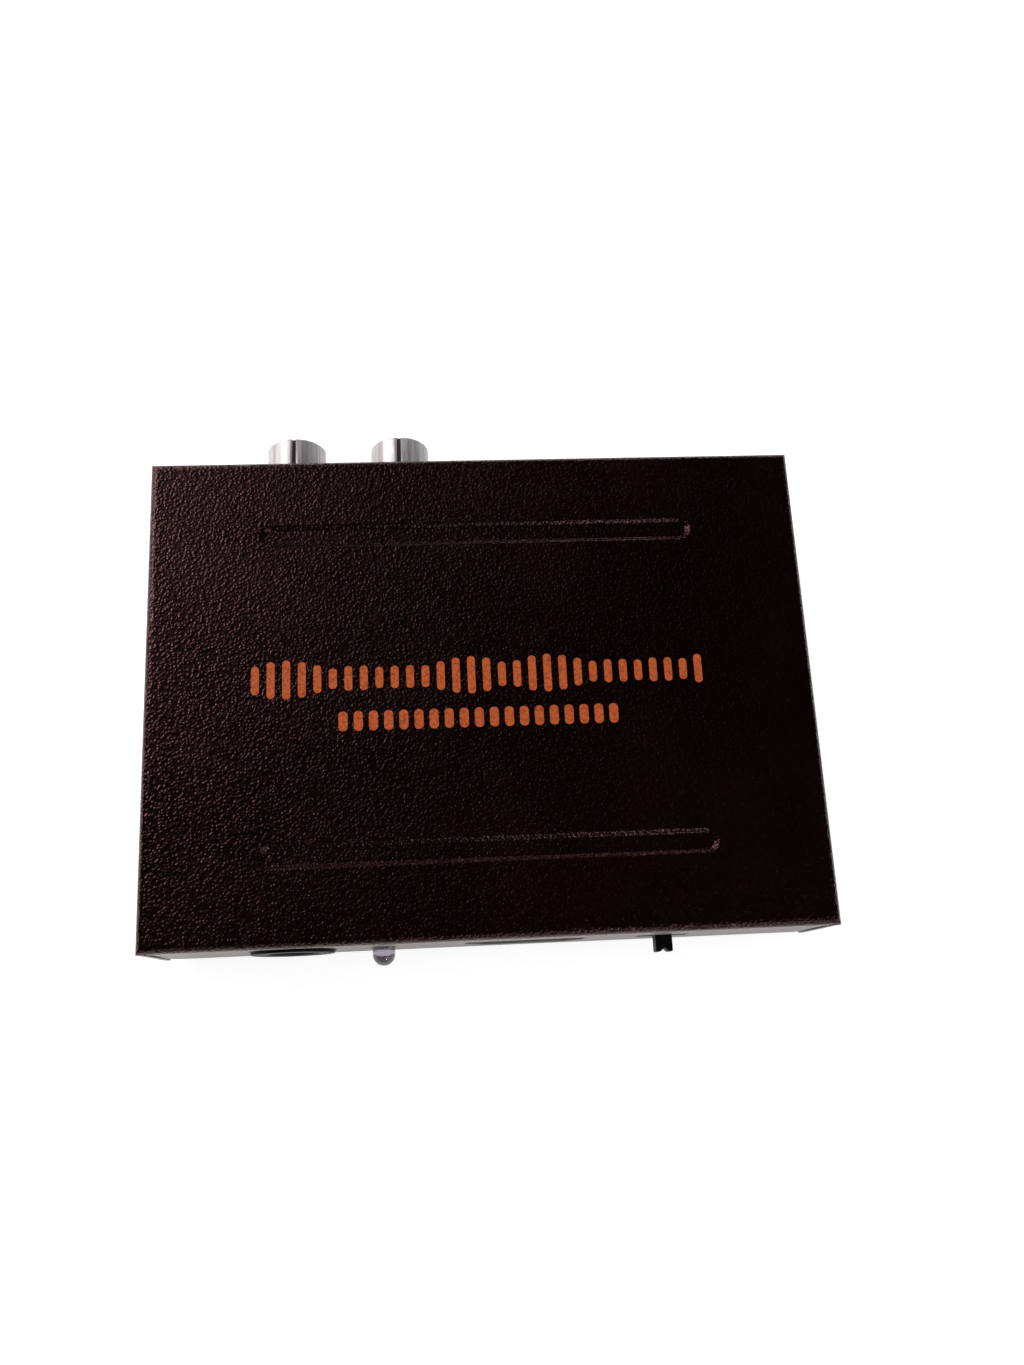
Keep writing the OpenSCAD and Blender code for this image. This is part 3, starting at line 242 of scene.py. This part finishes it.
def surface(name, colour, roughness, **constants):
    """A material with its constants set. Gives the material, its tree, its shader's inputs, and the
    object's coordinates."""
    made = bpy.data.materials.new(name)
    made.use_nodes = True
    tree = made.node_tree
    inputs = tree.nodes["Principled BSDF"].inputs
    inputs["Base Color"].default_value = linear(colour)
    inputs["Roughness"].default_value = roughness
    for key, value in constants.items():
        inputs[key.replace("_", " ")].default_value = value
    return made, tree, inputs, add(tree, "TexCoord").outputs["Object"]


# Size and height of the coat's pebbles
PEBBLE = 0.4
PEBBLE_DEPTH = 0.054


def black_powder_coat():
    """Structured polyester powder coat, sprayed and baked on steel. It gives a warm near-black with
    pebbles of the coat's own texture, which glint one by one, a little dust, and no metallic shine."""
    made, tree, inputs, place = surface("structured_powder_coat", "#0d0405", 0.28, Specular_IOR_Level=0.36,
                                         Specular_Tint=(1, 0.48, 0.49, 1))
    # Pebbles are drawn out of round by a slow noise
    warp = add(tree, "TexNoise", {"Vector": place, "Scale": per_mm(0.8), "Detail": 1})
    spread = add(tree, "VectorMath", {0: warp.outputs["Color"], 1: (0.4 * MM,) * 3}, operation="MULTIPLY")
    bent = add(tree, "VectorMath", {0: place, 1: spread}, operation="ADD")
    pebbles = add(tree, "TexVoronoi", {"Vector": bent, "Scale": per_mm(PEBBLE), "Smoothness": 0.5},
                  feature="SMOOTH_F1")
    domes = add(tree, "MapRange", {"Value": pebbles, "From Min": 0.75, "From Max": 0.1},
                interpolation_type="SMOOTHSTEP")
    relief = add(tree, "Bump", {"Height": domes, "Distance": PEBBLE_DEPTH * MM, "Strength": 1})
    # The fine peel between the pebbles
    peel = add(tree, "TexNoise", {"Vector": place, "Scale": per_mm(0.3), "Detail": 2})
    add(tree, "Bump", {"Height": peel, "Distance": 0.015 * MM, "Strength": 0.6, "Normal": relief},
        to=inputs["Normal"])
    # The coat is warmer in some parts than in others
    drift = add(tree, "TexNoise", {"Vector": place, "Scale": per_mm(40), "Detail": 1})
    share = add(tree, "MapRange", {"Value": drift, "From Min": 0.35, "From Max": 0.65})
    ground = add(tree, "Mix", {0: share, 6: linear("#040001"), 7: linear("#080102")}, data_type="RGBA")
    # Dust: a few pale specks about 0.2 mm across, where a chosen cell's point lies in the surface
    dust = add(tree, "TexVoronoi", {"Vector": place, "Scale": per_mm(6)})
    speck = add(tree, "MapRange", {"Value": dust, "From Min": 0.022, "From Max": 0.012})
    dusty = add(tree, "MapRange", {"Value": dust.outputs["Color"], "From Min": 0.62, "From Max": 0.63})
    both = add(tree, "Math", {0: speck, 1: dusty}, operation="MULTIPLY")
    add(tree, "Mix", {0: both, 6: ground, 7: linear("#8a8078")}, data_type="RGBA", to=inputs["Base Color"])
    cloud = add(tree, "TexNoise", {"Vector": place, "Scale": per_mm(12), "Detail": 2})
    add(tree, "MapRange", {"Value": cloud, "From Min": 0.3, "From Max": 0.7, "To Min": 0.24, "To Max": 0.32},
        to=inputs["Roughness"])
    return made


def pale_face_plate():
    """Rolled aluminium sheet under a satin grey lacquer: even and slightly warm, with faint roll
    lines along X."""
    made, tree, inputs, place = surface("satin_lacquered_aluminium", "#756f6b", 0.5, Metallic=0.3)
    along = add(tree, "Mapping", {"Vector": place, "Scale": (0.03, 1, 1)})
    lines = add(tree, "TexNoise", {"Vector": along, "Scale": per_mm(0.2), "Detail": 2})
    share = add(tree, "MapRange", {"Value": lines, "From Min": 0.3, "From Max": 0.7})
    add(tree, "Mix", {0: share, 6: linear("#6e6864"), 7: linear("#7c7672")}, data_type="RGBA",
        to=inputs["Base Color"])
    add(tree, "Bump", {"Height": lines, "Distance": 0.006 * MM, "Strength": 0.6}, to=inputs["Normal"])
    return made


def nickel():
    """Dull nickel plate on rolled brass: cool grey, with streaks along the sleeve where it was drawn
    and handled."""
    made, tree, inputs, place = surface("dull_nickel_plate", "#b4b2b5", 0.42, Metallic=0.5)
    along = add(tree, "Mapping", {"Vector": place, "Scale": (1, 0.06, 1)})
    streaks = add(tree, "TexNoise", {"Vector": along, "Scale": per_mm(0.55), "Detail": 3})
    share = add(tree, "MapRange", {"Value": streaks, "From Min": 0.3, "From Max": 0.7})
    add(tree, "Mix", {0: share, 6: linear("#96949a"), 7: linear("#d6d5d8")}, data_type="RGBA",
        to=inputs["Base Color"])
    add(tree, "Bump", {"Height": streaks, "Distance": 0.012 * MM, "Strength": 0.6}, to=inputs["Normal"])
    smears = add(tree, "TexNoise", {"Vector": place, "Scale": per_mm(1.6), "Detail": 3})
    add(tree, "MapRange", {"Value": smears, "From Min": 0.3, "From Max": 0.7, "To Min": 0.36, "To Max": 0.52},
        to=inputs["Roughness"])
    return made


def tinned_steel():
    """Sheet steel dipped in tin: soft grey shine with a faint spangle."""
    made, tree, inputs, place = surface("hot_tinned_steel", "#aeaba5", 0.32, Metallic=1)
    spangle = add(tree, "TexVoronoi", {"Vector": place, "Scale": per_mm(0.9)})
    add(tree, "MapRange", {"Value": spangle.outputs["Color"], "To Min": 0.26, "To Max": 0.42},
        to=inputs["Roughness"])
    add(tree, "Bump", {"Height": spangle, "Distance": 0.004 * MM, "Strength": 0.5}, to=inputs["Normal"])
    return made


def black_moulding():
    """Glass-filled polyester, injection moulded in a spark-eroded mould: black and satin, with a
    fine grain."""
    made, tree, inputs, place = surface("moulded_black_polyester", "#070505", 0.55, Specular_IOR_Level=0.14)
    grain = add(tree, "TexNoise", {"Vector": place, "Scale": per_mm(0.14), "Detail": 3})
    add(tree, "Bump", {"Height": grain, "Distance": 0.012 * MM, "Strength": 0.7}, to=inputs["Normal"])
    flow = add(tree, "TexNoise", {"Vector": place, "Scale": per_mm(2), "Detail": 2})
    add(tree, "MapRange", {"Value": flow, "From Min": 0.3, "From Max": 0.7, "To Min": 0.44, "To Max": 0.58},
        to=inputs["Roughness"])
    return made


def brass_contact():
    """Stamped brass with a gold flash: warm yellow, smooth, duller where it was handled."""
    made, tree, inputs, place = surface("gold_flashed_brass", "#d9b868", 0.22, Metallic=1)
    haze = add(tree, "TexNoise", {"Vector": place, "Scale": per_mm(0.6), "Detail": 2})
    add(tree, "MapRange", {"Value": haze, "From Min": 0.3, "From Max": 0.7, "To Min": 0.16, "To Max": 0.32},
        to=inputs["Roughness"])
    return made


def clear_lamp():
    """Cast epoxy lens, clear with a smoky tint: it shows the lamp's frame inside and a sharp glint
    at its tip."""
    made, tree, inputs, place = surface("cast_clear_epoxy", "#a6a1aa", 0.05, Transmission_Weight=1, IOR=1.54)
    waves = add(tree, "TexNoise", {"Vector": place, "Scale": per_mm(1), "Detail": 1})
    add(tree, "Bump", {"Height": waves, "Distance": 0.01 * MM, "Strength": 0.3}, to=inputs["Normal"])
    return made


def moulded_insert(name, colour, darker):
    """Moulded ABS: glossy, with the faint waves that a moulded face shows."""
    made, tree, inputs, place = surface(name, colour, 0.3)
    waves = add(tree, "TexNoise", {"Vector": place, "Scale": per_mm(0.9), "Detail": 2})
    add(tree, "Bump", {"Height": waves, "Distance": 0.01 * MM, "Strength": 0.4}, to=inputs["Normal"])
    add(tree, "Mix", {0: waves, 6: linear(colour), 7: linear(darker)}, data_type="RGBA",
        to=inputs["Base Color"])
    return made


def white_insert():
    """White moulded ABS, a little ivory."""
    return moulded_insert("moulded_white_abs", "#e9e6df", "#dedad0")


def red_insert():
    """Red moulded ABS."""
    return moulded_insert("moulded_red_abs", "#b01f24", "#9c191e")


def light_source():
    """Dark red clear epoxy of a light emitter: nearly black, glossy."""
    return moulded_insert("dark_red_epoxy", "#3a0f10", "#2c0a0b")


def foot_rubber():
    """Moulded neoprene: dull black with a fine matt grain, greyer where dust clings."""
    made, tree, inputs, place = surface("moulded_neoprene", "#1d1c1c", 0.8)
    grain = add(tree, "TexNoise", {"Vector": place, "Scale": per_mm(0.22), "Detail": 4})
    add(tree, "Bump", {"Height": grain, "Distance": 0.03 * MM, "Strength": 0.8}, to=inputs["Normal"])
    add(tree, "Mix", {0: grain, 6: linear("#181717"), 7: linear("#262423")}, data_type="RGBA",
        to=inputs["Base Color"])
    return made


def blackened_steel():
    """Black-oxide steel screws: dark with an oily shine that changes over the head."""
    made, tree, inputs, place = surface("black_oxide_steel", "#2a2622", 0.38, Metallic=0.8)
    oil = add(tree, "TexNoise", {"Vector": place, "Scale": per_mm(0.5), "Detail": 3})
    add(tree, "MapRange", {"Value": oil, "From Min": 0.3, "From Max": 0.7, "To Min": 0.28, "To Max": 0.5},
        to=inputs["Roughness"])
    return made


def board_laminate():
    """Woven glass and epoxy under green solder mask: glossy, with the weave's cells of about half a
    millimetre just showing."""
    made, tree, inputs, place = surface("green_solder_mask", "#1c5a36", 0.3)
    add(tree, "TexBrick", {"Vector": place, "Scale": per_mm(1), "Mortar Size": 0.05,
                           "Color1": linear("#1c5a36"), "Color2": linear("#20633f"),
                           "Mortar": linear("#164a2c")}, to=inputs["Base Color"])
    waves = add(tree, "TexNoise", {"Vector": place, "Scale": per_mm(0.7), "Detail": 2})
    add(tree, "Bump", {"Height": waves, "Distance": 0.01 * MM, "Strength": 0.4}, to=inputs["Normal"])
    return made


def brown_laminate():
    """Pressed phenolic paper: warm brown and matt, with the paper's fibres."""
    made, tree, inputs, place = surface("pressed_phenolic_paper", "#6e4a2c", 0.6)
    fibres = add(tree, "TexNoise", {"Vector": place, "Scale": per_mm(0.4), "Detail": 4})
    add(tree, "Mix", {0: fibres, 6: linear("#5a3b22"), 7: linear("#835a37")}, data_type="RGBA",
        to=inputs["Base Color"])
    return made


def chip_epoxy():
    """Epoxy moulded round a chip: dark grey and matt, with the grain of its filler."""
    made, tree, inputs, place = surface("moulded_chip_epoxy", "#232427", 0.55)
    grain = add(tree, "TexNoise", {"Vector": place, "Scale": per_mm(0.12), "Detail": 3})
    add(tree, "Bump", {"Height": grain, "Distance": 0.01 * MM, "Strength": 0.7}, to=inputs["Normal"])
    return made


def can_aluminium():
    """Deep-drawn aluminium: soft silver with smears along the draw."""
    made, tree, inputs, place = surface("drawn_aluminium", "#c3c3c2", 0.3, Metallic=1)
    smears = add(tree, "TexNoise", {"Vector": place, "Scale": per_mm(0.7), "Detail": 2})
    add(tree, "MapRange", {"Value": smears, "From Min": 0.3, "From Max": 0.7, "To Min": 0.22, "To Max": 0.4},
        to=inputs["Roughness"])
    return made


def ceramic():
    """Fired barium titanate: tan and slightly waxy, mottled."""
    made, tree, inputs, place = surface("fired_tan_ceramic", "#a98a62", 0.4)
    mottle = add(tree, "TexNoise", {"Vector": place, "Scale": per_mm(0.5), "Detail": 2})
    add(tree, "Mix", {0: mottle, 6: linear("#97794f"), 7: linear("#b89a70")}, data_type="RGBA",
        to=inputs["Base Color"])
    return made


def orange_ink():
    """Screen-printed ink: flat burnt orange, thin enough for the coat's pebbles to show through, with painted
    shade that darkens it in the hollows between them."""
    made, tree, inputs, place = surface("screen_printed_ink", "#aa4f26", 0.55, Specular_IOR_Level=0.15)
    pebbles = add(tree, "TexVoronoi", {"Vector": place, "Scale": per_mm(PEBBLE), "Smoothness": 0.7},
                  feature="SMOOTH_F1")
    # Painted shade: the ink is darker in the hollows between the pebbles
    shaded_hollows = add(tree, "MapRange", {"Value": pebbles, "From Min": 0.35, "From Max": 0.8})
    add(tree, "Mix", {0: shaded_hollows, 6: linear("#b15428"), 7: linear("#8a3c1c")}, data_type="RGBA",
        to=inputs["Base Color"])
    add(tree, "Bump", {"Height": pebbles, "Distance": -0.04 * MM, "Strength": 0.8}, to=inputs["Normal"])
    return made


def black_film():
    """Black sheet of painted shade inside the sleeves' seams: thin, with a dull gloss and faint wrinkles."""
    made, tree, inputs, place = surface("painted_shade_film", "#41363d", 0.5)
    wrinkles = add(tree, "TexNoise", {"Vector": place, "Scale": per_mm(0.8), "Detail": 2})
    add(tree, "Bump", {"Height": wrinkles, "Distance": 0.01 * MM, "Strength": 0.4}, to=inputs["Normal"])
    return made


# The record's slots have the same names as the functions that make their materials
MATERIALS = {maker.__name__: maker() for maker in (
    black_powder_coat, pale_face_plate, blackened_steel, foot_rubber, board_laminate, nickel, tinned_steel,
    black_moulding, brass_contact, clear_lamp, white_insert, red_insert, light_source, brown_laminate,
    chip_epoxy, can_aluminium, ceramic, orange_ink, black_film)}


# Folded cover: outer skin from a cube, grooves pressed in, opened at the front and rear, then given its
# thickness
SHEET = 0.8
BEND = 1.2
BEND_SEGMENTS = 6
LIP = 1.7
RELIEF = 0.6
# A face whose normal has more than this share along Y is in the wall or in the bend's lowest facet
WALL = 0.99
COVER_EDGE = 0.12
COVER_EDGE_ANGLE = 40
COVER_SMOOTH = 30
GROOVE_LENGTH = 60.0
GROOVE_WIDTH = 3.6
GROOVE_FLOOR = 1.9
GROOVE_DEPTH = 0.45
GROOVE_SPACING = 44.0
# The groove's wall starts this far inside its outline, leans over this share of the shoulder, and
# falls in this many steps
GROOVE_RIM = 0.1
GROOVE_LEAN = 0.85
GROOVE_STEPS = 8
CUTTER_SIDES = 64
CUTTER_RISE = 1.0
SCREW_SPACING = 40.0
SCREW_HEIGHT = 7.6
# The countersinks' radii at both ends, their depth, and how far their middle lies inside the wall's face
SINK_OUTER = 2.5
SINK_INNER = 1.0
SINK_DEPTH = 1.5
SINK_INSET = 0.55
SINK_SIDES = 48


def groove_cutter(middle, top):
    """Stadium with a soft shoulder and a rounded floor: a round dish whose halves are drawn apart."""
    cutter = begin(bpy.ops.mesh.primitive_circle_add, "groove_cutter", vertices=CUTTER_SIDES, radius=1,
                   rotation=(0, 0, math.pi / CUTTER_SIDES), fill_type="NGON",
                   location=(middle.x, middle.y, top + CUTTER_RISE))
    edit(cutter)
    bpy.ops.mesh.select_all(action="SELECT")
    shoulder = (GROOVE_WIDTH - GROOVE_FLOOR) / 2
    reach = GROOVE_WIDTH / 2 - GROOVE_RIM
    rows = [(reach, NEAR)]
    for i in range(GROOVE_STEPS + 1):
        share = i / GROOVE_STEPS
        fall = share * share * (3 - 2 * share)
        rows.append((reach - share * GROOVE_LEAN * shoulder, -NEAR - fall * (GROOVE_DEPTH - NEAR)))
    bpy.ops.transform.resize(value=(reach, reach, 1))
    radius, height = reach, CUTTER_RISE
    for r, z in rows:
        bpy.ops.mesh.extrude_region_move(TRANSFORM_OT_translate={"value": (0, 0, z - height)})
        bpy.ops.transform.resize(value=(r / radius, r / radius, 1))
        radius, height = r, z
    run = GROOVE_LENGTH - GROOVE_WIDTH
    for side in (-1, 1):
        pick("VERT", lambda mid, _: side * (mid.x - middle.x) > 0)
        bpy.ops.transform.translate(value=(side * run / 2, 0, 0))
    bpy.ops.mesh.select_all(action="SELECT")
    bpy.ops.mesh.normals_make_consistent(inside=False)
    bpy.ops.object.mode_set(mode="OBJECT")
    return cutter


def folded_cover():
    """The cover, in place of its CAD node."""
    _, high, middle, size = box_mm("top_cover")
    cover = begin(bpy.ops.mesh.primitive_cube_add, "folded_cover", size=1, location=middle, scale=size)
    edit(cover)
    pick("EDGE", lambda mid, _: mid.z > high.z - NEAR)
    bpy.ops.mesh.bevel(offset=BEND, segments=BEND_SEGMENTS, affect="EDGES")
    bpy.ops.object.mode_set(mode="OBJECT")
    for side in (-1, 1):
        cut(cover, groove_cutter(middle + Vector((0, side * GROOVE_SPACING / 2, 0)), high.z))
    edit(cover)
    # The walls are cut along the lips' lower edges and the slits, and what lies outside is deleted
    lip_z = high.z - LIP
    slit_x = size.x / 2 - SHEET - RELIEF
    bpy.ops.mesh.select_all(action="SELECT")
    bpy.ops.mesh.bisect(plane_co=(0, 0, lip_z), plane_no=(0, 0, 1))
    for side in (-1, 1):
        pick("FACE", lambda _, normal: abs(normal.y) > FACING)
        bpy.ops.mesh.bisect(plane_co=(side * slit_x, 0, 0), plane_no=(1, 0, 0))
    pick("FACE", lambda mid, normal: normal.z < -FACING
         or (abs(normal.y) > WALL and (mid.z < lip_z or abs(mid.x) > slit_x)))
    bpy.ops.mesh.delete(type="FACE")
    bpy.ops.object.mode_set(mode="OBJECT")
    apply(cover, "SOLIDIFY", thickness=SHEET, offset=-1, use_even_offset=True)
    for side in (-1, 1):
        for end in (-1, 1):
            place = (side * (size.x / 2 - SINK_INSET), middle.y + end * SCREW_SPACING / 2, SCREW_HEIGHT)
            hole = begin(bpy.ops.mesh.primitive_cone_add, "screw_cutter", vertices=SINK_SIDES,
                         radius1=SINK_OUTER, radius2=SINK_INNER, depth=SINK_DEPTH,
                         rotation=(0, -side * math.pi / 2, 0), location=place)
            cut(cover, hole)
    rounded(cover, COVER_EDGE, COVER_EDGE_ANGLE)
    return finish(cover, "extractor", "black_powder_coat", ["top_cover"], COVER_SMOOTH)


folded_cover()

# Print on the cover: a row of level bars and a row of short blocks, as a generic sound mark
INK = 0.03
INK_CORNER = 0.45
INK_CORNER_SEGMENTS = 4
PRINT_X = -0.6
PRINT_Y = 0.0
BAR_COUNT = 30
BAR_PITCH = 2.05
BAR_WIDTH = 1.05
BAR_TALLEST = 5.6
# The bars' heights follow a wave that a slower one makes louder and softer, both given per bar
WAVE = 0.55
WAVE_START = 0.4
SWELL = 0.19
DASH_X = -0.8
DASH_Y = -5.9
DASH_COUNT = 19
DASH_PITCH = 2.0
DASH_LENGTH = 1.2
DASH_HEIGHT = 2.7


def places(x, count, pitch):
    """Places along X of so many blocks, spread evenly about a middle."""
    return [x + (i - (count - 1) / 2) * pitch for i in range(count)]


def printed_row(name, x_places, width, heights, y, top):
    """Row of thin printed blocks with rounded ends."""
    blocks = []
    for x, height in zip(x_places, heights):
        block = begin(bpy.ops.mesh.primitive_cube_add, "print", size=1, location=(x, y, top + INK / 2),
                      scale=(width, height, INK))
        edit(block)
        pick("EDGE", lambda _, way: abs(way.z) > FACING)
        bpy.ops.mesh.bevel(offset=INK_CORNER * min(width, height), segments=INK_CORNER_SEGMENTS,
                           affect="EDGES")
        bpy.ops.object.mode_set(mode="OBJECT")
        blocks.append(block)
    return finish(join(name, blocks), "extractor", "orange_ink")


def prints():
    """Both rows, on the cover's top face."""
    top = box_mm("top_cover")[1].z
    heights = [BAR_TALLEST * (0.5 + 0.5 * abs(math.sin(WAVE * i + WAVE_START) * math.cos(SWELL * i)))
               for i in range(BAR_COUNT)]
    printed_row("printed_level_bars", places(PRINT_X, BAR_COUNT, BAR_PITCH), BAR_WIDTH, heights,
                PRINT_Y, top)
    printed_row("printed_dashes", places(DASH_X, DASH_COUNT, DASH_PITCH), DASH_LENGTH,
                [DASH_HEIGHT] * DASH_COUNT, DASH_Y, top)


prints()

# CAD nodes with rounded edges: width of the rounding in millimetres, by node. The seamed sleeves and
# their inserts are only merged, because joined faces would close the sleeves' mouths.
EDGE_ROUNDING = {
    "front_plate": 0.08, "rear_plate": 0.08, "dc_jack_body": 0.25, "switch_slider": 0.15,
    "optical_housing": 0.2,
    "rca_left_barrel": 0, "rca_right_barrel": 0, "rca_left_insert": 0, "rca_right_insert": 0,
    "video_in_shell": 0.06, "video_out_shell": 0.06,
    "base_tray": 0.12, "rubber_feet": 0.35, "optical_shutter": 0.12, "dc_centre_pin": 0.08,
    "video_in_insulator": 0.1, "video_out_insulator": 0.1, "case_screws": 0.08,
}
BODIES = frame["record"]["behaviour"]["bodies"]
BODY_OF = {node: body for body, members in BODIES.items() for node in members}

# In the photograph the face plates are nearly level with the lips, so their outer faces are brought
# out this far. The second value is the depth of the band that moves, in widths of its rounding.
PLATE_EDGE = 0.3
PLATE_BAND = 1.2


def brought_out(piece, node, width):
    """Moves a face plate's outer face outwards, with the rounding round it."""
    _, _, middle, size = box_mm(node)
    side = 1 if middle.y > 0 else -1
    edit(piece)
    pick("VERT", lambda mid, _: side * (mid.y - middle.y) > size.y / 2 - PLATE_BAND * width)
    bpy.ops.transform.translate(value=(0, side * PLATE_EDGE, 0))
    bpy.ops.object.mode_set(mode="OBJECT")


for node, width in EDGE_ROUNDING.items():
    piece = softened(node, width)
    if node in ("front_plate", "rear_plate"):
        brought_out(piece, node, width)
    finish(piece, BODY_OF[node], SLOT_OF[node], [node])

# Every CAD node gets its slot's material, also where a copy takes its place
for node, piece in nodes.items():
    piece.data.materials.clear()
    piece.data.materials.append(MATERIALS[SLOT_OF[node]])

# Dark film tubes inside the sound sleeves, seen through the sleeves' seams: painted shade, a dark sheet
# standing for the shade within the seams
RCA_AXIS = 11.2
FILM_RADIUS = 3.725
FILM_WALL = 0.03
FILM_LENGTH = 5.1
FILM_SETBACK = 0.1
FILM_SIDES = 64


def seam_shade_film(side):
    """Tube of dark film inside one sleeve, nearly up to the sleeve's mouth: painted shade in its seam."""
    _, high, middle, _ = box_mm(f"rca_{side}_barrel")
    film = begin(bpy.ops.mesh.primitive_cylinder_add, f"{side}_seam_shade_film", vertices=FILM_SIDES,
                 radius=FILM_RADIUS, depth=FILM_LENGTH, end_fill_type="NOTHING",
                 rotation=(math.pi / 2, 0, 0),
                 location=(middle.x, high.y - FILM_SETBACK - FILM_LENGTH / 2, RCA_AXIS))
    apply(film, "SOLIDIFY", thickness=FILM_WALL, offset=0)
    return finish(film, "extractor", "black_film")


for side in ("left", "right"):
    seam_shade_film(side)


# The lamp's frame inside its clear lens: the anvil with its cup, and the post that the wire runs to.
# X is measured from the lens's middle, Y from the frame's root, and the root from the lens's tip.
LAMP_ROOT = 3.1
ANVIL_SIZE = (0.75, 1.5, 0.55)
ANVIL_X = -0.3
ANVIL_Y = -0.2
ANVIL_EDGE = 0.08
CUP_RIM = 0.1
CUP_DEPTH = 0.2
CUP_TAPER = 0.6
POST_SIZE = (0.3, 1.3, 0.45)
POST_X = 0.55
POST_Y = -0.1
POST_TIP = (-0.08, -0.2, 0)
POST_TAPER = (0.7, 1, 0.5)


def lamp_frame():
    """The anvil and the post, as one piece."""
    low, _, middle, _ = box_mm("power_led")
    root = low.y + LAMP_ROOT
    anvil = begin(bpy.ops.mesh.primitive_cube_add, "anvil", size=1, scale=ANVIL_SIZE,
                  location=(middle.x + ANVIL_X, root + ANVIL_Y, middle.z))
    edit(anvil)
    pick("FACE", lambda _, normal: normal.y < -FACING)
    bpy.ops.mesh.inset(thickness=CUP_RIM)
    bpy.ops.mesh.extrude_region_move(TRANSFORM_OT_translate={"value": (0, CUP_DEPTH, 0)})
    bpy.ops.transform.resize(value=(CUP_TAPER, 1, CUP_TAPER))
    back = root + ANVIL_Y + ANVIL_SIZE[1] / 2
    pick("EDGE", lambda mid, _: mid.y > back - NEAR)
    bpy.ops.mesh.bevel(offset=ANVIL_EDGE, segments=2, affect="EDGES")
    bpy.ops.object.mode_set(mode="OBJECT")
    post = begin(bpy.ops.mesh.primitive_cube_add, "post", size=1, scale=POST_SIZE,
                 location=(middle.x + POST_X, root + POST_Y, middle.z))
    edit(post)
    pick("FACE", lambda _, normal: normal.y < -FACING)
    bpy.ops.mesh.extrude_region_move(TRANSFORM_OT_translate={"value": POST_TIP})
    bpy.ops.transform.resize(value=POST_TAPER)
    bpy.ops.object.mode_set(mode="OBJECT")
    return finish(join("lamp_frame", [anvil, post]), "extractor", "tinned_steel")


lamp_frame()

# Floor, light and background
FLOOR_SIZE = 3.0
FLOOR_GLOW = 0.62
AMBIENT = 0.45
HORIZON_GLOW = 0.5
OVERHEAD_GLOW = 0.01
# Heights between which the room darkens, as the sine of the angle above the horizon
GLOW_ENDS = 0.05
DARK_STARTS = 0.3


def floor():
    """White ground that glows where it is seen or mirrored, and takes the part's shadow."""
    bpy.ops.object.select_all(action="DESELECT")
    bpy.ops.mesh.primitive_plane_add(size=FLOOR_SIZE, location=(0, 0, 0))
    ground = bpy.context.object
    ground.name = "floor"
    made, tree, inputs, _ = surface("white_paper_floor", "#e8e7e5", 0.9)
    path = add(tree, "LightPath").outputs
    seen = add(tree, "Math", {0: path["Is Camera Ray"], 1: path["Is Glossy Ray"]}, operation="MAXIMUM")
    seen = add(tree, "Math", {0: seen, 1: path["Is Transmission Ray"]}, operation="MAXIMUM")
    inputs["Emission Color"].default_value = (1, 1, 1, 1)
    add(tree, "Math", {0: seen, 1: FLOOR_GLOW}, operation="MULTIPLY", to=inputs["Emission Strength"])
    ground.data.materials.append(made)


def room():
    """White where it is seen, pale near the horizon in reflections, and nearly dark overhead."""
    made = bpy.data.worlds.new("room")
    bpy.context.scene.world = made
    made.use_nodes = True
    tree = made.node_tree
    inputs = tree.nodes["Background"].inputs
    inputs["Color"].default_value = (1, 1, 1, 1)
    path = add(tree, "LightPath").outputs
    way = add(tree, "SeparateXYZ", {0: add(tree, "TexCoord").outputs["Generated"]})
    sky = add(tree, "MapRange", {"Value": way.outputs["Z"], "From Min": GLOW_ENDS, "From Max": DARK_STARTS,
                                 "To Min": HORIZON_GLOW, "To Max": OVERHEAD_GLOW})
    lit = add(tree, "Mix", {0: path["Is Glossy Ray"], 2: AMBIENT, 3: sky})
    seen = add(tree, "Math", {0: path["Is Camera Ray"], 1: path["Is Transmission Ray"]}, operation="MAXIMUM")
    add(tree, "Mix", {0: seen, 2: lit, 3: 1.0}, to=inputs["Strength"])


LAMP_DISTANCE = 0.75
# Each lamp's direction from the part, size in metres, radiance and colour
LAMPS = {
    # Glints on the pebbles of the left half
    "left_glint_lamp": ((-0.7, 0.35, 0.6), 0.1, 46, "#ffeee4"),
    # The left half's broad sheen, which fades to the right
    "left_soft_lamp": ((-0.58, 0.52, 0.5), 0.4, 5.6, "#fff6f0"),
    # A little light on the right wall and the front
    "right_soft_lamp": ((0.55, -0.6, 0.5), 0.4, 1.6, "#ffffff"),
    # A faint reflection over the rear half
    "rear_patch": ((-0.3, 0.5, 0.8), 0.3, 0.7, "#ffffff"),
    # Specks along the front bend and the grooves' edges
    "front_glint_lamp": ((0.3, -0.8, 0.58), 0.035, 260, "#e4edff"),
    # Light on the rear plate and into its sockets
    "rear_low_lamp": ((0.15, 0.95, 0.25), 0.15, 5, "#ffeadf"),
}


def lamp(name, way, size, radiance, colour):
    """Square lamp that looks at the part from this way, as bright as this wherever it is seen."""
    data = bpy.data.lights.new(name, "AREA")
    data.size = size
    data.energy = radiance * math.pi * size * size
    data.color = linear(colour)[:3]
    light = bpy.data.objects.new(name, data)
    bpy.context.scene.collection.objects.link(light)
    light.location = Vector(way).normalized() * LAMP_DISTANCE
    light.rotation_euler = (-light.location).to_track_quat("-Z", "Y").to_euler()


floor()
room()
for name, settings in LAMPS.items():
    lamp(name, *settings)
bpy.context.scene.view_settings.view_transform = "Standard"
